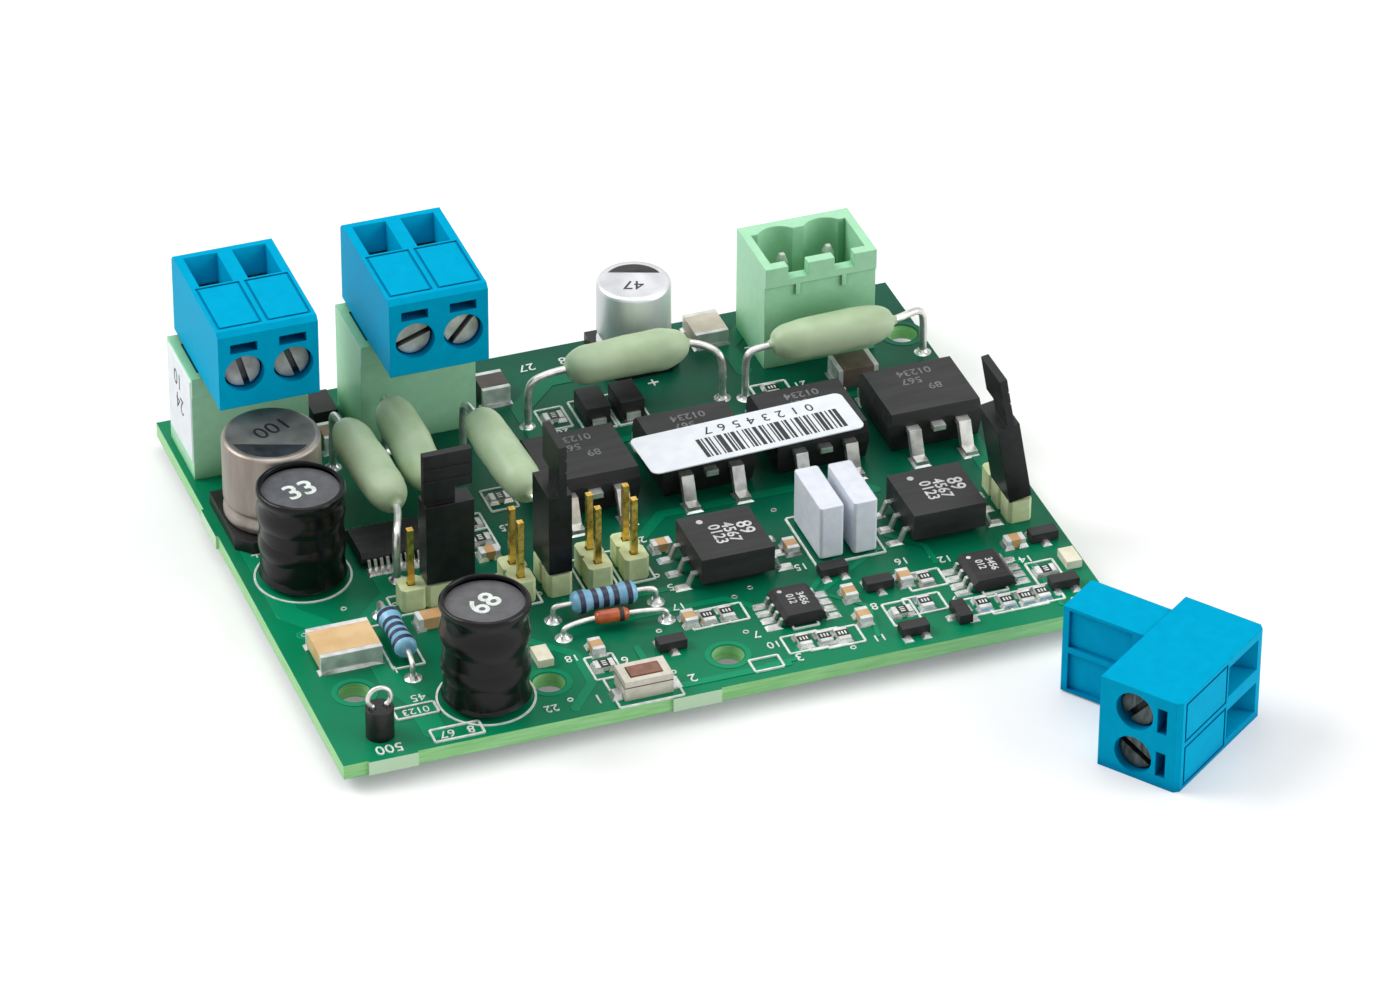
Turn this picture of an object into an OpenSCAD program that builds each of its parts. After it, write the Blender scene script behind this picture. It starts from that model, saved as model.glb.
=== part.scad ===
// Line isolator module: a bare circuit board with pluggable screw terminals,
// wire-ended resistors, inductors, capacitors, power transistors, isolators,
// option jumpers and a test button. One terminal plug lies beside the board.
// The origin is the middle of the board's underside, +Z up, +Y to the terminals.

/* [Board] */
// Length of the board along X
board_w = 80; // [80:1:120]
// Depth of the board along Y
board_d = 63; // [63:1:100]
// Thickness of the board
board_t = 1.6; // [1:0.1:3.2]
// Radius of the fixing holes
fixing_r = 1.6; // [1.2:0.05:1.7]
// Length of the wire tails below the board
tail_l = 1.4; // [1:0.1:3]
// Clearance around a wire in its drilled hole
hole_gap = 0.08; // [0.04:0.01:0.2]
// Radius of a solder cone at the underside
solder_r = 0.95; // [0.85:0.05:1.1]
// Height of a solder cone
solder_h = 0.8; // [0.4:0.05:0.95]
// Width of a break-off stub on the board's edge
stub_w = 5; // [2:0.5:8]
// How far a break-off stub stands out
stub_out = 0.25; // [0.1:0.05:0.5]

/* [Terminal headers] */
// Distance between the two poles of a terminal
pole_pitch = 5.08; // [5:0.02:5.4]
// Room from a pole to the header's end
header_end = 3.56; // [3.4:0.02:4.2]
// Depth of a header along Y
header_d = 8.4; // [8.2:0.1:9.6]
// Height of a header
header_h = 12.2; // [11:0.1:14]
// Thickness of the header's walls
header_wall = 0.9; // [0.7:0.05:1.1]
// Distance from the pins to the header's back face
header_rear = 3.9; // [3.7:0.05:4.3]
// Gap from the header's back face to the board's edge
header_edge = 3; // [2:0.1:6]
// Place of the first header's middle from the board's left edge
header_a_x = 6.8; // [6.5:0.1:8]
// Place of the second header's middle from the board's left edge
header_b_x = 24.6; // [24:0.1:26]
// Place of the third header's middle from the board's right edge
header_c_inset = 11.8; // [11:0.1:12.5]
// Gap below a seated plug's tongue in the header's socket
socket_gap = 0.3; // [0.2:0.05:0.6]
// Radius of the round lobes at the back of the socket
lobe_r = 2.5; // [2.2:0.05:2.52]
// How far the straight part of the socket reaches behind the pins
socket_rear = 2.1; // [1.7:0.05:2.4]
// Height of the raised band at the header's rim
band_h = 2.3; // [1.6:0.1:3]
// How far the band and its ribs stand out
band_out = 0.25; // [0.1:0.05:0.4]
// Side of a square terminal pin
pin_side = 1; // [0.8:0.05:1.1]
// Height of the terminal pins above the board
pin_h = 10.7; // [9:0.1:10.8]

/* [Terminal plugs] */
// Width of a plug beyond its two poles
plug_margin = 0.24; // [0.1:0.02:0.6]
// Distance from the pins to the plug's screw face
plug_front = 11.7; // [11.2:0.1:13]
// Distance from the pins to the plug's back face
plug_rear = 4.3; // [4.2:0.05:5]
// Height of the plug's body
plug_h = 8.9; // [8.6:0.1:10]
// Gap between the header's rim and the seated plug
plug_seat = 0.5; // [0.3:0.05:0.9]
// Length of the tongue that enters the header
tongue_l = 9.2; // [8.8:0.1:9.2]
// Clearance between the tongue and the socket
tongue_gap = 0.2; // [0.1:0.02:0.3]
// Height of the screw axis above the plug's underside
screw_z = 3.85; // [3.7:0.05:4.1]
// Radius of the screw bore in the screw face
screw_bore_r = 2.05; // [2:0.01:2.1]
// Width of a wire entry at its mouth
entry_w = 3.5; // [3.2:0.1:4]
// Depth of a wire entry at its mouth
entry_d = 5.6; // [4.6:0.1:5.8]
// Width of a test slot in the screw face
test_slot_w = 2.8; // [2:0.1:3.4]
// Height of a test slot
test_slot_h = 1.05; // [0.7:0.05:1.2]
// Place of the loose plug's tongue root from the board's front right corner
loose_plug_at = [-0.8, -13.1];
// Heading of the loose plug, lying on its side
loose_plug_heading = -53.5; // [-70:0.5:-40]

/* [Terminal screws and clamps] */
// Radius of a screw head
screw_head_r = 1.85; // [1.7:0.05:1.95]
// Thickness of a screw head
screw_head_h = 1.6; // [1.2:0.1:1.9]
// Depth of the screw heads below the screw face
screw_sunk = 0.8; // [0.4:0.1:1]
// Radius of a screw shank
screw_r = 1.3; // [1.1:0.05:1.4]
// Running clearance of the shank in the clamp and the plug
screw_gap = 0.08; // [0.04:0.01:0.1]
// Width of a wire clamp
clamp_w = 3.9; // [3.7:0.05:4]
// Height of a wire clamp
clamp_h = 4.6; // [4:0.1:4.7]
// Thickness of a clamp's side walls
clamp_wall = 0.55; // [0.4:0.05:0.6]
// Thickness of a clamp's threaded wall
clamp_nut = 1; // [0.8:0.1:1.3]
// Space for the wire behind the contact bar, clamp open
wire_room = 3.1; // [2.8:0.1:3.2]
// Clearance between a clamp and its chamber
clamp_gap = 0.12; // [0.08:0.01:0.2]
// Thickness of a contact bar
bar_t = 0.7; // [0.5:0.05:0.8]
// Width of a contact
contact_w = 2.4; // [2:0.1:2.5]

/* [Option pins and jumpers] */
// Pitch of the option pins
option_pitch = 2.54; // [2.5:0.02:2.6]
// Height of a pin strip's base
strip_h = 2.5; // [2:0.1:3]
// Corner cut of a pin strip's cells
strip_cut = 0.35; // [0.2:0.05:0.6]
// Side of a square option pin
option_pin = 0.64; // [0.5:0.02:0.7]
// Height of the option pins above the board
option_pin_h = 9; // [8:0.1:9.3]
// Width of a jumper across its pins
jumper_w = 2.4; // [2.3:0.05:2.5]
// Height of a jumper's body
jumper_h = 9.1; // [8.8:0.1:11]
// Height of a jumper's handle above the body
jumper_grip_h = 5.7; // [4:0.1:8]
// Thickness of a jumper's handle
jumper_grip_t = 0.8; // [0.6:0.1:1.2]
// Gap between a jumper and the strip below it
jumper_seat = 0.25; // [0.2:0.05:0.5]
// Lean of the third jumper and its pins, to the left
jumper_lean = 10; // [0:1:10]

/* [Power resistors] */
// Diameter of a power resistor
power_d = 4.3; // [3.8:0.1:4.8]
// Length of a power resistor
power_l = 13.2; // [12:0.1:13.4]
// Radius of a power resistor's wire
power_wire_r = 0.4; // [0.3:0.02:0.45]

/* [Small wire-ended parts] */
// Diameter of a film resistor
film_res_d = 2.4; // [2:0.1:2.6]
// Length of a film resistor
film_res_l = 6.8; // [6:0.1:7]
// Diameter of the glass diode
diode_d = 1.4; // [1.2:0.1:1.8]
// Length of the glass diode
diode_l = 3.6; // [3:0.1:4.2]
// Radius of the small parts' wires
small_wire_r = 0.28; // [0.2:0.02:0.32]
// Width of a film capacitor
film_cap_w = 2.5; // [2.2:0.1:2.6]
// Depth of a film capacitor
film_cap_d = 7.6; // [6.6:0.1:7.8]
// Height of a film capacitor
film_cap_h = 6.2; // [5:0.1:7.5]
// Stand-off of a film capacitor
film_cap_foot = 0.3; // [0.2:0.05:0.6]

/* [Inductors] */
// Outer radius of an inductor's sleeve
sleeve_r = 4.55; // [4.3:0.05:4.6]
// Wall of an inductor's sleeve
sleeve_wall = 0.35; // [0.25:0.05:0.45]
// Height of the first inductor
inductor_1_h = 10.9; // [9:0.1:14]
// Height of the second inductor
inductor_2_h = 11.7; // [9:0.1:14]
// Depth of the core's face below the sleeve's rim
core_sunk = 0.7; // [0.4:0.1:1.2]
// Thickness of the core's flanges
core_flange = 1.4; // [1:0.1:2]
// Radius of the core's middle post
core_post_r = 2.3; // [1.8:0.1:2.8]
// Distance between an inductor's two wires
inductor_pitch = 5; // [4:0.1:5.6]

/* [Electrolytic capacitors] */
// Radius of the large can
large_can_r = 5; // [4.4:0.05:5.1]
// Height of the large capacitor
large_can_top = 10.5; // [8:0.1:14]
// Radius of the small can
small_can_r = 3.9; // [3.4:0.05:4]
// Height of the small capacitor
small_can_top = 9.4; // [7:0.1:12]
// Thickness of a capacitor's base plate
can_base_h = 1.4; // [1:0.1:2]
// How much wider a base plate is than its can, on each side
can_base_rim = 0.15; // [0.1:0.01:0.2]

/* [Power transistors] */
// Width of a transistor's body
transistor_w = 10; // [9:0.1:10.6]
// Depth of a transistor's body
transistor_d = 9.2; // [8.4:0.1:9.6]
// Height of a transistor's top face
transistor_h = 4.5; // [4:0.1:5]
// Place of the transistors' front faces from the board's front edge
transistor_front = 32.5; // [32:0.1:33.5]
// Spacing of the transistors
transistor_pitch = 12.3; // [12.1:0.1:12.4]
// Place of the first transistor's middle from the left edge
transistor_x = 36.8; // [36.6:0.1:37]
// Distance between a transistor's outer leads
transistor_lead_pitch = 5.4; // [5:0.1:5.6]
// Length of the metal tab behind the body
transistor_tab = 1.5; // [1:0.1:2]

/* [Isolators] */
// Side of an isolator's square body
isolator_w = 7.7; // [7:0.1:7.8]
// Height of an isolator's top face
isolator_h = 3.75; // [3:0.05:4.5]
// Distance between an isolator's leads
isolator_pitch = 2.54; // [2.4:0.02:2.6]

/* [Surface parts] */
// Length of a small chip
chip_l = 2; // [1.6:0.05:2.1]
// Width of a small chip
chip_w = 1.25; // [1:0.05:1.3]
// Thickness of a chip resistor
chip_res_h = 0.55; // [0.4:0.05:0.8]
// Thickness of a chip capacitor
chip_cap_h = 0.95; // [0.6:0.05:1.2]
// Length of a chip's metal ends
chip_end = 0.5; // [0.3:0.02:0.6]
// Thickness of the surface parts' leads
lead_t = 0.22; // [0.15:0.01:0.28]

/* [Test button, post and label] */
// Length of the button's frame
switch_w = 5; // [4.4:0.1:5.4]
// Depth of the button's frame
switch_d = 3.2; // [2.8:0.1:3.4]
// Height of the button's frame
switch_h = 2.2; // [1.9:0.1:3]
// Clearance of the button in its frame
button_gap = 0.1; // [0.06:0.01:0.15]
// Travel of the button
button_travel = 0.25; // [0.15:0.05:0.4]
// Radius of the test post's bead
bead_r = 1.4; // [1.2:0.05:1.7]
// Height of the test post's bead
bead_h = 3.3; // [2.6:0.1:4]
// Radius of the test post's loop
loop_r = 1.15; // [1:0.05:1.3]
// Length of the bar label
label_w = 23.2; // [20:0.1:24]
// Depth of the bar label
label_d = 6.8; // [6:0.1:7.2]
// Thickness of the bar label
label_t = 0.12; // [0.08:0.01:0.3]

/* [Hidden] */
$fn = 48;
eps = 0.01;
board_size = [board_w, board_d];
tail_z = -board_t - tail_l;

// Terminals, measured from the pins and from the plug's underside
pole_x = [-pole_pitch / 2, pole_pitch / 2];
header_w = pole_pitch + 2 * header_end;
header_x = [header_a_x, header_b_x, board_w - header_c_inset];
pin_line = board_d - header_edge - header_rear;
header_front = header_rear - header_d;
socket_front = header_front + header_wall;
socket_w = header_w - 2 * header_wall;
socket_h = tongue_l - plug_seat + socket_gap;
lobe_y = header_rear - header_wall - lobe_r;
notch_w = 2.2;
notch_h = 1.5;
rib_w = 0.5;
rib_h = 1.3;
tip_h = 0.8;
tip_scale = 0.5;
plug_w = 2 * pole_pitch + plug_margin;
plug_base = header_h + plug_seat;
tongue_floor = 0.7;
tongue_chamfer = 1;
entry_inner = [2.9, 3];
entry_rear = 1.3;
edge_cut = 0.5;
panel_line = 0.25;
panel_deep = 0.15;
key_deep = 0.4;
key_rib = 0.35;
slot_deep = 2.5;
test_slot_z = plug_h - 2;

// Clamp chamber along the plug's depth: bar, screw end, open and closed clamp
bar_rear = -0.7;
bar_front = bar_rear - bar_t;
bar_gap = 0.15;
clamp_travel = 2.4;
clamp_rear_in = bar_rear + wire_room;
clamp_rear_out = clamp_rear_in + clamp_wall;
clamp_front_in = bar_front - bar_gap;
clamp_front_out = clamp_front_in - clamp_nut;
chamber_front = clamp_front_out - clamp_travel - clamp_gap;
chamber_rear = clamp_rear_out + clamp_gap;
chamber_w = clamp_w + 2 * clamp_gap;
chamber_low = screw_z - clamp_h / 2 - clamp_gap;
chamber_top = screw_z + clamp_h / 2 + clamp_gap;
head_front = -plug_front + screw_sunk;
head_rear = head_front + screw_head_h;
head_seat = head_rear + screw_gap;
shank_end = bar_front - screw_gap;
screw_slot_w = 0.65;
screw_slot_h = 0.8;
leaf_t = 0.4;
pin_gap = 0.2;
leaf_in = pin_side / 2 + pin_gap;
fork_low = -tongue_l + tongue_floor;
bridge_low = pin_h - plug_base + pin_gap;
bridge_h = 0.5;
bar_top = chamber_top - 2 * clamp_gap;
contact_gap = 0.12;
screw_turn = [[75, 70], [-20, -50], [40, -60]];

// Option strips: first pin's place, number of pins, heading of the row
strips = [
    [14.5, 23.5, 3, 0],
    [25.1, 21.1, 2, 90],
    [28.9, 21.1, 2, 90],
    [33.1, 20.9, 2, 90],
    [37, 21.2, 2, 90],
    [76.6, 18, 3, 90],
];
// Jumpers: the strip, the first pin covered, the lean
jumpers = [
    [0, 1, 0],
    [2, 0, 0],
    [5, 0, jumper_lean],
];
jumper_l = 2 * option_pitch - 0.08;
jumper_top = strip_h + jumper_seat + jumper_h;
clip_gap = 0.1;
clip_t = 0.3;
clip_in = option_pin / 2 + clip_gap;
clip_low = 0.5;
clip_l = option_pitch + option_pin + 0.9;
clip_top = option_pin_h - strip_h + clip_gap + clip_t;
grip_notch = [1.8, 1.6];
grip_groove = 0.25;

// Wire-ended parts: middle, heading and tilt, then the two feet
power_seats = [
    [[15.4, 39.4, 6.3], -84, 6, [14.6, 49.2], [14.5, 28]],
    [[20.4, 41.6, 6.3], -90, 6, [20.4, 50.2], [20.6, 31.4]],
    [[28.6, 36.6, 6.3], -84, 6, [27.6, 46.6], [29.6, 26.8]],
    [[46.6, 50.3, 5.8], 2, 0, [35.6, 49.6], [56.2, 48]],
    [[68, 47.4, 5.8], 1, 0, [58.4, 47.2], [78.8, 49.2]],
];
film_res_seats = [
    [[11, 17.2, 1.7], -90, 0, [11, 22.8], [10.8, 11.6]],
    [[32, 16, 1.7], 0, 0, [26.8, 16.2], [37.4, 15.8]],
];
diode_seat = [[31.9, 13.3, 1.3], -4, 0, [26.8, 13], [37.4, 12.6]];
stub_l = 0.8;
stub_in = 0.35;
stub_part = 0.7;
run_part = 0.9;
wire_knee = 1.15;
wire_cut = 0.3;
film_caps = [[56.4, 20.7], [59.9, 20.5]];
film_cap_pitch = 5;
inductors = [[5.95, 31.8, inductor_1_h], [16.5, 6.2, inductor_2_h]];
core_r = sleeve_r - sleeve_wall - 0.2;
core_low = 0.4;
sleeve_low = 0.6;
sleeve_wave = 0.12;
sleeve_waves = 3;
winding_gap = 0.1;

// Capacitor cans: place, can radius, height of the top face
can_from_header = [-18, 2.3];
cans = [
    [6.05, 42, large_can_r, large_can_top],
    [header_x[2] + can_from_header.x, pin_line + can_from_header.y, small_can_r, small_can_top],
];
can_groove = 0.35;
can_round = 0.45;

// Flat packages
transistor_count = 4;
transistor_under = 0.2;
transistor_lead_w = 1.3;
transistor_lead_t = 0.6;
transistor_lead_z = 2.7;
transistor_foot = 3.2;
transistor_stub = 1;
isolators_at = [[46.1, 19.7], [68.7, 19.9]];
isolator_under = 0.9;
isolator_belly = 0.15;
isolator_leads = 3;
isolator_lead_w = 0.6;
// Small gull-wing packages: place, body, lead rows along X or Y, leads, pitch
packages = [
    [49.9, 9.6, [4.3, 4.9, 1.5], 0, 4, 1.27, 0.45],
    [69.7, 8.9, [4.3, 4.9, 1.5], 0, 4, 1.27, 0.45],
    [15.4, 33.6, [5.3, 7.2, 1.6], 90, 10, 0.65, 0.3],
];
package_under = 0.12;
package_lead_l = 1.5;
sot_body = [2.9, 1.4, 1];
sot_lead = [0.45, 0.55, 0.3];
sots = [
    [55.6, 14.6, 0],
    [59, 10.8, 180],
    [59.5, 2.4, 0],
    [64.9, 3.4, 90],
    [77.6, 13.3, 180],
    [76.4, 4.9, 0],
    [36.2, 8, 180],
];
block_diode = [2.6, 4, 2.1];
block_diode_foot = [1.5, 0.35, 0.9];
block_diodes = [[42.5, 49.4], [46.2, 49.4], [16, 58]];

// Chips: place and heading of the long side
chip_resistors_at = [
    [41.2, 11.4, 90],
    [43.2, 11.4, 90],
    [48.7, 4.4, 90],
    [50.8, 4.2, 90],
    [52.6, 4, 90],
    [63.8, 10.4, 90],
    [67.6, 4.4, 90],
    [70, 4, 90],
    [72, 4, 90],
    [73.8, 4.2, 90],
    [62.3, 6.5, 90],
    [59.6, 5.8, 0],
    [75.6, 7.6, 0],
    [28.9, 7, 0],
    [28.6, 38, 0],
    [24.4, 34.4, 0],
    [24.4, 31.6, 0],
    [38.5, 50, 0],
    [61.4, 47.4, 90],
];
chip_capacitors_at = [
    [39.3, 11.4, 90],
    [55.7, 10.2, 90],
    [55.6, 6, 90],
    [61.8, 10.9, 90],
    [74.5, 13.2, 0],
    [53.1, 19.8, 90],
    [41, 24.3, 0],
    [29.1, 9.9, 90],
    [24.4, 28.8, 0],
];
// Large ceramic blocks: place, size, heading of the metal ends
block_from_header = [-9.7, 3.3];
ceramic_blocks = [
    [33.8, 55.9, [3.4, 3, 2.2], 90],
    [15.8, 53, [3, 2.6, 2], 90],
    [header_x[2] + block_from_header.x, pin_line + block_from_header.y, [4.2, 3.6, 1.8], 90],
    [70.2, 47, [4.4, 3.2, 2.2], 0],
    [15.4, 19.6, [3.2, 1.6, 1.3], 0],
];
stacked_at = [5.7, 17.6];
stacked_size = [6.3, 4, 1.7];
stacked_foot = 0.3;
stacked_plate = 0.6;
led_size = [1.6, 2.6, 0.9];
leds = [[23.6, 10.2], [78.6, 8.6]];

// Test button, post, label and holes
switch_at = [31.4, 2.5];
button_size = [3.2, 1.7];
button_proud = 0.1;
button_h = 1.2;
post_at = [4.9, 3.7];
post_wire_r = 0.24;
post_arc = 280;
post_rise = 0.2;
post_leg = loop_r * cos((post_arc - 180) / 2);
label_at = [53.9, 34.5];
label_turn = 2.5;
label_corner = 0.8;
fixing_holes = [[4.7, 11.1], [23, 6.4], [41, 4.9], [78, 53.1]];
front_stubs = [5, 36];
left_stubs = [43.8];

// Places a part on the board's top face, from its front left corner
module on_board(x, y) {
    translate([x - board_w / 2, y - board_d / 2, board_t])
        children();
}

// Box centred in X and Y that stands on z = 0
module block(size) {
    translate([-size.x / 2, -size.y / 2, 0])
        cube(size);
}

// Box between two corners
module span(low, high) {
    translate(low)
        cube(high - low);
}

// Point at a distance along a part's axis from its middle
function along(seat, s) =
    seat[0] + s * [cos(seat[1]) * cos(seat[2]), sin(seat[1]) * cos(seat[2]), -sin(seat[2])];

// Place of one pin of a strip
function strip_pin(s, i) = [
    s[0] + i * option_pitch * cos(s[3]),
    s[1] + i * option_pitch * sin(s[3]),
];

// All the drilled wire holes: place and radius of the wire
function drilled() = concat(
    [for (x = header_x, p = pole_x) [x + p, pin_line, pin_side / sqrt(2)]],
    [for (s = strips, i = [0 : s[2] - 1]) concat(strip_pin(s, i), [option_pin / sqrt(2)])],
    [for (s = power_seats, f = [s[3], s[4]]) [f.x, f.y, power_wire_r]],
    [for (s = concat(film_res_seats, [diode_seat]), f = [s[3], s[4]]) [f.x, f.y, small_wire_r]],
    [for (c = film_caps, d = [-1, 1]) [c.x, c.y + d * film_cap_pitch / 2, small_wire_r]],
    [for (l = inductors, d = [-1, 1]) [l.x + d * inductor_pitch / 2, l.y, power_wire_r]],
    [for (d = [-1, 1]) [post_at.x + d * post_leg, post_at.y, post_wire_r]]
);

// Glass-fibre board with its drilled holes and break-off stubs
module circuit_board() {
    color("seagreen")
    translate([-board_w / 2, -board_d / 2, 0])
    linear_extrude(board_t)
    difference() {
        union() {
            square(board_size);
            for (x = front_stubs)
                translate([x - stub_w / 2, -stub_out])
                    square([stub_w, 1]);
            for (y = left_stubs)
                translate([-stub_out, y - stub_w / 2])
                    square([1, stub_w]);
        }
        for (h = fixing_holes)
            translate(h)
                circle(fixing_r);
        for (h = drilled())
            translate([h[0], h[1]])
                circle(h[2] + hole_gap);
    }
}

// Outline of the header's socket, drawn smaller by a gap for the plug's tongue
module socket_outline(gap) {
    translate([-socket_w / 2 + gap, socket_front + gap])
        square([socket_w - 2 * gap, socket_rear - socket_front - 2 * gap]);
    for (x = pole_x)
        translate([x, lobe_y])
            circle(lobe_r - gap);
}

// Moulded header, open at the top, with a keyed front wall
module header(i) {
    color("darkseagreen")
    on_board(header_x[i], pin_line)
    difference() {
        union() {
            span([-header_w / 2, header_front, 0], [header_w / 2, header_rear, header_h]);
            span(
                [-header_w / 2, header_front - band_out, header_h - band_h],
                [header_w / 2, header_front + eps, header_h]
            );
            for (x = pole_x)
                translate([x, header_front, header_h - band_h - rib_h / 2])
                    cube([rib_w, 2 * band_out, rib_h + eps], center = true);
        }
        translate([0, 0, header_h - socket_h])
            linear_extrude(socket_h + 1)
                socket_outline(0);
        for (x = pole_x) {
            translate([x, header_front, header_h - notch_h])
                block([notch_w, 4 * header_wall, notch_h + 1]);
            translate([x, 0, -1])
                block([pin_side + 2 * hole_gap, pin_side + 2 * hole_gap, header_h]);
        }
    }
}

// Solder at the board's underside, from a wire's radius to its pad
module solder_cone(r, pad_r) {
    translate([0, 0, -board_t - solder_h])
        cylinder(h = solder_h, r1 = r, r2 = pad_r);
}

// Tapered prism: two of them crossed make a pin's tip
module tip_prism() {
    half = pin_side / 2;
    linear_extrude(2 * pin_side, center = true)
        polygon([
            [-half, -eps],
            [half, -eps],
            [half * tip_scale, tip_h],
            [-half * tip_scale, tip_h],
        ]);
}

// Square terminal pin with a tapered tip and a solder cone
module terminal_pin() {
    translate([0, 0, tail_z])
        block([pin_side, pin_side, pin_h - tip_h - tail_z]);
    translate([0, 0, pin_h - tip_h])
        intersection() {
            rotate([90, 0, 0])
                tip_prism();
            rotate([90, 0, 90])
                tip_prism();
        }
    solder_cone(pin_side / 2, solder_r + pin_side / 4);
}

module header_pins() {
    color("silver")
    for (x = header_x, p = pole_x)
        on_board(x + p, pin_line)
            terminal_pin();
}

// Frame of a seated plug: the pins' line, at the plug's underside
module seated_plug(i) {
    on_board(header_x[i], pin_line)
        translate([0, 0, plug_base])
            children();
}

// One of a plug's two poles
module pole(k) {
    translate([pole_x[k], 0, 0])
        children();
}

// Frame of the loose plug, which lies on its side level with the wire tails
module loose_plug() {
    translate([
        board_w / 2 + loose_plug_at.x,
        -board_d / 2 + loose_plug_at.y,
        plug_w / 2 - tail_l,
    ])
        rotate([0, 90, loose_plug_heading])
            children();
}

// Tongue below the plug, chamfered at its back end, with key pockets in front
module plug_tongue() {
    difference() {
        translate([0, 0, -tongue_l])
            linear_extrude(tongue_l + eps)
                socket_outline(tongue_gap);
        translate([0, header_rear, -tongue_l])
            rotate([45, 0, 0])
                cube([socket_w, 3 * tongue_chamfer, 3 * tongue_chamfer], center = true);
        for (d = [-1, 1])
            translate([
                d * (socket_w / 4 - tongue_gap / 2),
                socket_front + tongue_gap,
                -tongue_l + tongue_floor,
            ])
                block([socket_w / 2 - tongue_gap - 2 * key_rib, 2 * key_deep, tongue_l - 3 * tongue_floor]);
    }
}

// Wire entry that narrows from its mouth to the clamp
module wire_entry() {
    mouth = [entry_w, entry_d];
    rise = plug_h - chamber_top;
    rear = chamber_rear - entry_rear;
    translate([0, 0, chamber_top - eps])
    intersection() {
        rotate([90, 0, 90])
            linear_extrude(2 * mouth.x, center = true)
                polygon([
                    [rear - entry_inner.y, 0],
                    [rear, 0],
                    [chamber_rear, rise + eps],
                    [chamber_rear - mouth.y, rise + eps],
                ]);
        rotate([90, 0, 0])
            linear_extrude(4 * mouth.y, center = true)
                polygon([
                    [-entry_inner.x / 2, 0],
                    [entry_inner.x / 2, 0],
                    [mouth.x / 2, rise + eps],
                    [-mouth.x / 2, rise + eps],
                ]);
    }
}

// Everything that is hollow in one pole of a plug
module pole_hollow() {
    half = chamber_w / 2;
    slot = contact_w / 2 + contact_gap;
    span([-half, chamber_front, chamber_low], [half, chamber_rear, chamber_top]);
    wire_entry();
    translate([0, -plug_front - 1, screw_z])
        rotate([-90, 0, 0]) {
            cylinder(h = head_seat + plug_front + 1, r = screw_bore_r);
            cylinder(h = chamber_front + plug_front + 1 + eps, r = screw_r + screw_gap);
        }
    translate([0, -plug_front, test_slot_z - test_slot_h / 2])
        block([test_slot_w, 2 * slot_deep, test_slot_h]);
    span(
        [-slot, bar_front - contact_gap, bridge_low],
        [slot, bar_rear + contact_gap, chamber_low + eps]
    );
    span(
        [-slot, bar_front - contact_gap, -tongue_l + tongue_floor],
        [slot, leaf_in + leaf_t + contact_gap, bridge_low + bridge_h + contact_gap]
    );
    translate([0, 0, -tongue_l - 1])
        block([pin_side + 2 * pin_gap, pin_side + 2 * pin_gap, tongue_floor + 1 + eps]);
}

// Shallow moulded line around a panel of the plug's top face
module panel_frame(low, high) {
    translate([0, 0, plug_h - panel_deep])
    difference() {
        span([low.x, low.y, 0], [high.x, high.y, 1]);
        span(
            [low.x + panel_line, low.y + panel_line, -1],
            [high.x - panel_line, high.y - panel_line, 2]
        );
    }
}

// Moulded plug: a body over the header's rim and a tongue inside it
module plug_housing() {
    panel_x = pole_pitch / 2 - panel_line;
    panel_rear = chamber_rear - entry_d - panel_line;
    color("deepskyblue")
    difference() {
        union() {
            rotate([90, 0, 90])
                linear_extrude(plug_w, center = true)
                    polygon([
                        [-plug_front, 0],
                        [plug_rear, 0],
                        [plug_rear, plug_h - edge_cut],
                        [plug_rear - edge_cut, plug_h],
                        [-plug_front + edge_cut, plug_h],
                        [-plug_front, plug_h - edge_cut],
                    ]);
            plug_tongue();
        }
        for (x = pole_x)
            translate([x, 0, 0]) {
                pole_hollow();
                panel_frame([-panel_x, -plug_front + 2 * edge_cut], [panel_x, panel_rear]);
            }
    }
}

// Slotted terminal screw along the plug's depth
module terminal_screw(turn) {
    color("lightgray")
    translate([0, head_front, screw_z])
    rotate([-90, turn, 0])
    difference() {
        union() {
            cylinder(h = screw_head_h, r = screw_head_r);
            cylinder(h = shank_end - head_front, r = screw_r);
        }
        translate([0, 0, -1])
            block([2 * screw_head_r + 1, screw_slot_w, screw_slot_h + 1]);
    }
}

// Wire clamp: a square ring around the contact bar, drawn forward by the screw
module wire_clamp() {
    half = clamp_w / 2;
    inner = half - clamp_wall;
    low = screw_z - clamp_h / 2;
    high = screw_z + clamp_h / 2;
    color("gold")
    difference() {
        span([-half, clamp_front_out, low], [half, clamp_rear_out, high]);
        span([-inner, clamp_front_in, low - 1], [inner, clamp_rear_in, high + 1]);
        translate([0, clamp_front_out - 1, screw_z])
            rotate([-90, 0, 0])
                cylinder(h = clamp_nut + 2, r = screw_r + screw_gap);
    }
}

// Contact of one pole: a bar at the clamp and a fork around the header's pin
module contact() {
    half = contact_w / 2;
    span([-half, bar_front, fork_low], [half, bar_rear, bar_top]);
    span([-half, leaf_in, fork_low], [half, leaf_in + leaf_t, bridge_low + bridge_h]);
    span([-half, bar_front, bridge_low], [half, leaf_in + leaf_t, bridge_low + bridge_h]);
}

module contacts() {
    color("gold")
    for (x = pole_x)
        translate([x, 0, 0])
            contact();
}

// Base cell of a pin strip, with cut corners
module strip_cell() {
    half = option_pitch / 2;
    cut = half - strip_cut;
    difference() {
        linear_extrude(strip_h)
            polygon([
                [-half, -cut], [-cut, -half], [cut, -half], [half, -cut],
                [half, cut], [cut, half], [-cut, half], [-half, cut],
            ]);
        translate([0, 0, -1])
            block([option_pin + 2 * hole_gap, option_pin + 2 * hole_gap, strip_h + 2]);
    }
}

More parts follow.
